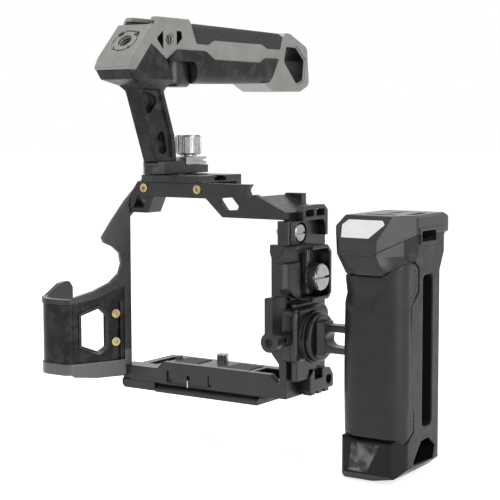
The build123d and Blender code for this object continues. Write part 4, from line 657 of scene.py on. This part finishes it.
def thread(name, mouth, axis, radius, depth, pitch, body, slot):
    """Internal screw thread: one ridge that winds down a bore."""
    axis = Vector(axis).normalized()
    side = axis.orthogonal().normalized()
    other = axis.cross(side)
    root, crest = radius + ROOT_BITE, radius - CREST * pitch
    profile = ((root, -FLANK * pitch), (crest, 0.0), (root, FLANK * pitch))
    rings = []
    for step in range(int(TURN_STEPS * depth / pitch) + 1):
        angle = 2 * math.pi * step / TURN_STEPS
        outwards = side * math.cos(angle) + other * math.sin(angle)
        middle = Vector(mouth) - axis * (step * pitch / TURN_STEPS + THREAD_START)
        rings.append([middle + outwards * reach + axis * rise for reach, rise in profile])
    piece = solid_piece(name, [point for ring in rings for point in ring], capped(rings), FINISH[slot])
    carry(piece, body)


# ------------------------------------------------------------------------------- liners: painted shade in recesses

MITRE_LIMIT = 0.35              # keeps a mitre at a sharp corner from running far in


def inset(outline, amount):
    """Outline moved inwards by an amount, with mitred corners."""
    area = sum(a[0] * b[1] - b[0] * a[1] for a, b in zip(outline, outline[1:] + outline[:1]))
    side = math.copysign(1.0, area)
    moved = []
    for i, corner in enumerate(outline):
        before, after = Vector(outline[i - 1]), Vector(outline[(i + 1) % len(outline)])
        into, away = (Vector(corner) - before).normalized(), (after - Vector(corner)).normalized()
        normals = [Vector((-d.y, d.x)) * side for d in (into, away)]
        middle = (normals[0] + normals[1]).normalized()
        moved.append(tuple(Vector(corner) + middle * amount / max(MITRE_LIMIT, middle.dot(normals[0]))))
    return moved


def rounded_box(ys, zs, radius, steps=6):
    """Outline of a rectangle with round corners."""
    corners = [(ys[1] - radius, zs[1] - radius, 0.0), (ys[0] + radius, zs[1] - radius, 90.0),
               (ys[0] + radius, zs[0] + radius, 180.0), (ys[1] - radius, zs[0] + radius, 270.0)]
    return [(y + radius * math.cos(math.radians(start + 90.0 * i / steps)),
             z + radius * math.sin(math.radians(start + 90.0 * i / steps)))
            for y, z, start in corners for i in range(steps + 1)]


def painted_shade_liner(name, outline, levels, wall, closed, body):
    """Thin dark wall along an outline in Y and Z: painted shade inside a recess.

    `levels` gives the X of four edges: two on the outline, then two on its inner side. A closed liner is
    a band with open ends, and any other has a floor between its first and its last edge.
    """
    inner = inset(outline, wall)
    edges = (outline, outline, inner, inner)
    rings = [[(x, *spot) for spot in edge] for x, edge in zip(levels, edges)]
    faces = skin(rings, True) if closed else capped(rings)
    piece = solid_piece(name, [point for ring in rings for point in ring], faces, FINISH["button_black"])
    carry(piece, body)


def painted_shade_tray(name, outline, floor_x, rim_x, wall, body):
    """Open dark box let into a recess as painted shade: a floor at one X and walls up to another."""
    inner_floor = floor_x + math.copysign(wall, rim_x - floor_x)
    painted_shade_liner(name, outline, (floor_x, rim_x, rim_x, inner_floor), wall, False, body)


# ------------------------------------------------------------------------------- dressing of the parts

GROOVE_Y, GROOVE_Z, GROOVE_ROUND = (-6.45, 3.95), (-3.95, 69.2), 3.0
GROOVE_FLOOR, GROOVE_RIM, GROOVE_WALL = 119.05, 125.75, 0.35
FOOT_Z = 113.3                  # underside of the top handle's foot, from which its heights are given
POCKETS = {"front": [(-21.75, 73.2), (-27.1, 69.1), (-21.75, 63.5)],
           "rear": [(-10.55, 73.45), (-6.5, 73.45), (-5.6, 70.1), (-10.55, 66.0)]}
POCKET_DEPTH, POCKET_RIM, POCKET_WALL = 4.9, 0.35, 0.2
LOOP_WINDOW = [(95.0, 70.0), (106.0, 69.8), (114.9, 62.6), (113.4, 51.0), (106.0, 48.9), (92.4, 61.3)]
LOOP_EDGE, LOOP_GAP, LOOP_WALL = 1.2, 0.04, 0.3     # back from each side, off the window, and thickness
HEAD_BORE, HEAD_PITCH = 4.0, 1.5                    # three-eighths-inch socket of the head
QUARTER_BORE, QUARTER_PITCH = 2.6, 1.27             # drilled radius and pitch of a quarter-inch socket
MARK_WIDTH, MARK_Z = 0.6, (4.4, 7.8)                # centre mark on the front of the base
MARK_PROUD, MARK_SUNK = 0.06, 0.2                   # how far it stands out of the plate and lies in it


def shade_side_groove():
    """Dark liner of the long groove in the outer face of the side handle: painted shade in the groove."""
    painted_shade_tray("groove_painted_shade", rounded_box(GROOVE_Y, GROOVE_Z, GROOVE_ROUND), GROOVE_FLOOR, GROOVE_RIM, GROOVE_WALL,
         "side_handle")


def shade_top_handle_recesses():
    """Dark liners of the pockets on both sides of the head, and of the window in the rear loop: painted shade
    inside them.
    """
    low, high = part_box("handle_head")
    for label, pocket in POCKETS.items():
        outline = [(y, z + FOOT_Z) for y, z in pocket]
        for side, face, inwards in (("right", low[0] / MM, 1.0), ("left", high[0] / MM, -1.0)):
            painted_shade_tray("head_pocket_liner_%s_%s" % (label, side), outline, face + inwards * POCKET_DEPTH,
                 face + inwards * POCKET_RIM, POCKET_WALL, "top_handle")
    low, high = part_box("rear_loop")
    right, left = low[0] / MM + LOOP_EDGE, high[0] / MM - LOOP_EDGE
    window = inset([(y, z + FOOT_Z) for y, z in LOOP_WINDOW], LOOP_GAP)
    painted_shade_liner("loop_painted_shade", window, (right, left, left, right), LOOP_WALL, True, "top_handle")


def cut_threads():
    """Threads in the head's front socket and in the quarter-inch sockets."""
    thread("head_socket_thread", (-24.0, -40.15, 180.85), (0.0, -0.715443, 0.698671),
           HEAD_BORE, 8.2, HEAD_PITCH, "top_handle", "titanium_grey")
    side_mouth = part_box("handle_head")[1][0] / MM - 0.8
    down, left, up = (0, 0, -1), (1, 0, 0), (0, 0, 1)
    for label, mouth, axis, depth, body, slot in (
            ("tripod", (0.0, 0.0, 0.0), down, 4.6, "cage", "frame_black"),
            ("foot_right", (-15.5, 0.0, 0.0), down, 4.6, "cage", "frame_black"),
            ("foot_left", (22.0, 0.0, 0.0), down, 4.6, "cage", "frame_black"),
            ("side", (66.0, 8.6, 11.2), left, 5.4, "cage", "frame_black"),
            ("handle_top", (108.0, 2.0, 97.0), up, 11.0, "side_handle", "frame_black"),
            ("head_side", (side_mouth, -16.2, 182.2), left, 8.0, "top_handle", "titanium_grey")):
        thread(label + "_socket_thread", mouth, axis, QUARTER_BORE, depth, QUARTER_PITCH, body, slot)


def paint_centre_mark():
    """White tick under the hole in the front of the base plate."""
    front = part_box("base_plate")[0][1] / MM
    mark = block("centre_mark", (-MARK_WIDTH / 2, MARK_WIDTH / 2), (front - MARK_PROUD, front + MARK_SUNK),
                 MARK_Z, FINISH["blank_plate"])
    carry(mark, "cage")


def knurl_knobs():
    """Ridges on the rims of the handle's clamp knob and of the cable thumbscrew."""
    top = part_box("handle_knob")[1][2] / MM
    knurl("handle_knob_knurl", count=48, radius=6.86, length=8.4, place=(-24.0, 12.6, top - 5.2), axis="z",
          body="handle_knob", skip=0.688)
    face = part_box("cable_knob")[1][0] / MM
    knurl("cable_knob_knurl", count=44, radius=6.56, length=4.4, place=(face - 2.9, -7.4, 64.6), axis="x",
          body="cable_knob")


shade_side_groove()
shade_top_handle_recesses()
cut_threads()
paint_centre_mark()
knurl_knobs()
leather_sleeve()
sleeve_stitches()


# ------------------------------------------------------------------------------- camera, light and floor

CAMERA_PLACE = (411.3, -573.5, 141.3)
CAMERA_AZIMUTH, CAMERA_ELEVATION, CAMERA_ROLL = 34.016, 5.482, -0.1775
SENSOR_WIDTH, FOCAL_LENGTH = 36.0, 97.7112
FILL = 0.3                      # strength of the surroundings as light on the object
FLOOR_GLOW = 0.72               # makes the floor white to the eye, with the object's shadow on it
FLOOR_REACH, FLOOR_GAP = 6.0, 0.3       # metres to each side, and millimetres below the object
LAMPS = {                       # place, target, width and height in metres, and watts
    "key": ((1.05, -0.36, 0.34), (0.03, 0.0, 0.07), (0.7, 1.1), 8.5),
    "left": ((-0.75, -0.55, 0.75), (0.0, 0.0, 0.1), (0.35, 0.6), 0.8),
    "top": ((0.0, 0.15, 1.05), (0.02, 0.0, 0.1), (0.7, 0.5), 5.0),
    "rim": ((-0.7, 0.7, 0.75), (0.0, 0.0, 0.1), (0.4, 0.5), 1.6),
}


def make_camera():
    """Camera a little above the rig, to the lens side of its left-hand handle."""
    azimuth, elevation, roll = (math.radians(a) for a in (CAMERA_AZIMUTH, CAMERA_ELEVATION, CAMERA_ROLL))
    back = Vector((math.sin(azimuth) * math.cos(elevation), -math.cos(azimuth) * math.cos(elevation),
                   math.sin(elevation)))
    level = Vector((math.cos(azimuth), math.sin(azimuth), 0.0))
    upright = back.cross(level)
    right = level * math.cos(roll) + upright * math.sin(roll)
    up = upright * math.cos(roll) - level * math.sin(roll)
    camera = new_object("camera", bpy.data.cameras.new("camera"))
    turn = Matrix((right, up, back)).transposed()
    camera.matrix_world = Matrix.Translation(Vector(CAMERA_PLACE) * MM) @ turn.to_4x4()
    camera.data.sensor_fit = "HORIZONTAL"
    camera.data.sensor_width = SENSOR_WIDTH
    camera.data.lens = FOCAL_LENGTH
    camera.data.clip_start = 0.02
    bpy.context.scene.camera = camera


def make_lamp(name, place, target, size, watts):
    """Soft rectangular lamp aimed at a point."""
    data = bpy.data.lights.new(name, "AREA")
    data.shape = "RECTANGLE"
    data.size, data.size_y = size
    data.energy = watts
    lamp = new_object(name, data)
    lamp.location = place
    lamp.rotation_euler = (Vector(place) - Vector(target)).to_track_quat("Z", "Y").to_euler()


def backdrop_strength(tree, low, high):
    """The high strength for rays that show the backdrop, seen, reflected or let through; else the low one."""
    rays = add(tree, "ShaderNodeLightPath").outputs
    seen = add(tree, "ShaderNodeMath", {0: rays["Is Camera Ray"], 1: rays["Is Glossy Ray"]},
               operation="MAXIMUM").outputs["Value"]
    shows = add(tree, "ShaderNodeMath", {0: seen, 1: rays["Is Transmission Ray"]}, operation="MAXIMUM")
    return add(tree, "ShaderNodeMapRange", {"Value": shows.outputs["Value"], "To Min": low,
                                            "To Max": high}).outputs["Result"]


def make_world():
    """White to the eye and in reflections, and an even fill for everything else."""
    world = bpy.data.worlds.new("studio")
    bpy.context.scene.world = world
    world.use_nodes = True
    tree = world.node_tree
    wire(tree, tree.nodes["Background"], {"Color": (1.0, 1.0, 1.0, 1.0),
                                          "Strength": backdrop_strength(tree, FILL, 1.0)})


def make_floor():
    """Pale sweep that the rig stands over; it keeps the soft shadow under the handle."""
    mesh = bpy.data.meshes.new("floor")
    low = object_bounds()[0][2] - FLOOR_GAP * MM
    corners = [(x * FLOOR_REACH, y * FLOOR_REACH, low) for x, y in ((-1, -1), (1, -1), (1, 1), (-1, 1))]
    mesh.from_pydata(corners, [], [(0, 1, 2, 3)])
    floor = new_object("floor", mesh)
    mat, tree, shader, place = material("pale_floor")
    wire(tree, shader, {"Base Color": patches(tree, place, 400.0, "f4f4f4", "f6f6f6", 1.0), "Roughness": 0.9,
                        "Emission Color": (1.0, 1.0, 1.0, 1.0),
                        "Emission Strength": backdrop_strength(tree, 0.0, FLOOR_GLOW)})
    mesh.materials.append(mat)


make_camera()
make_world()
make_floor()
for lamp_name, lamp_values in LAMPS.items():
    make_lamp(lamp_name, *lamp_values)

bpy.context.scene.view_settings.view_transform = "Standard"
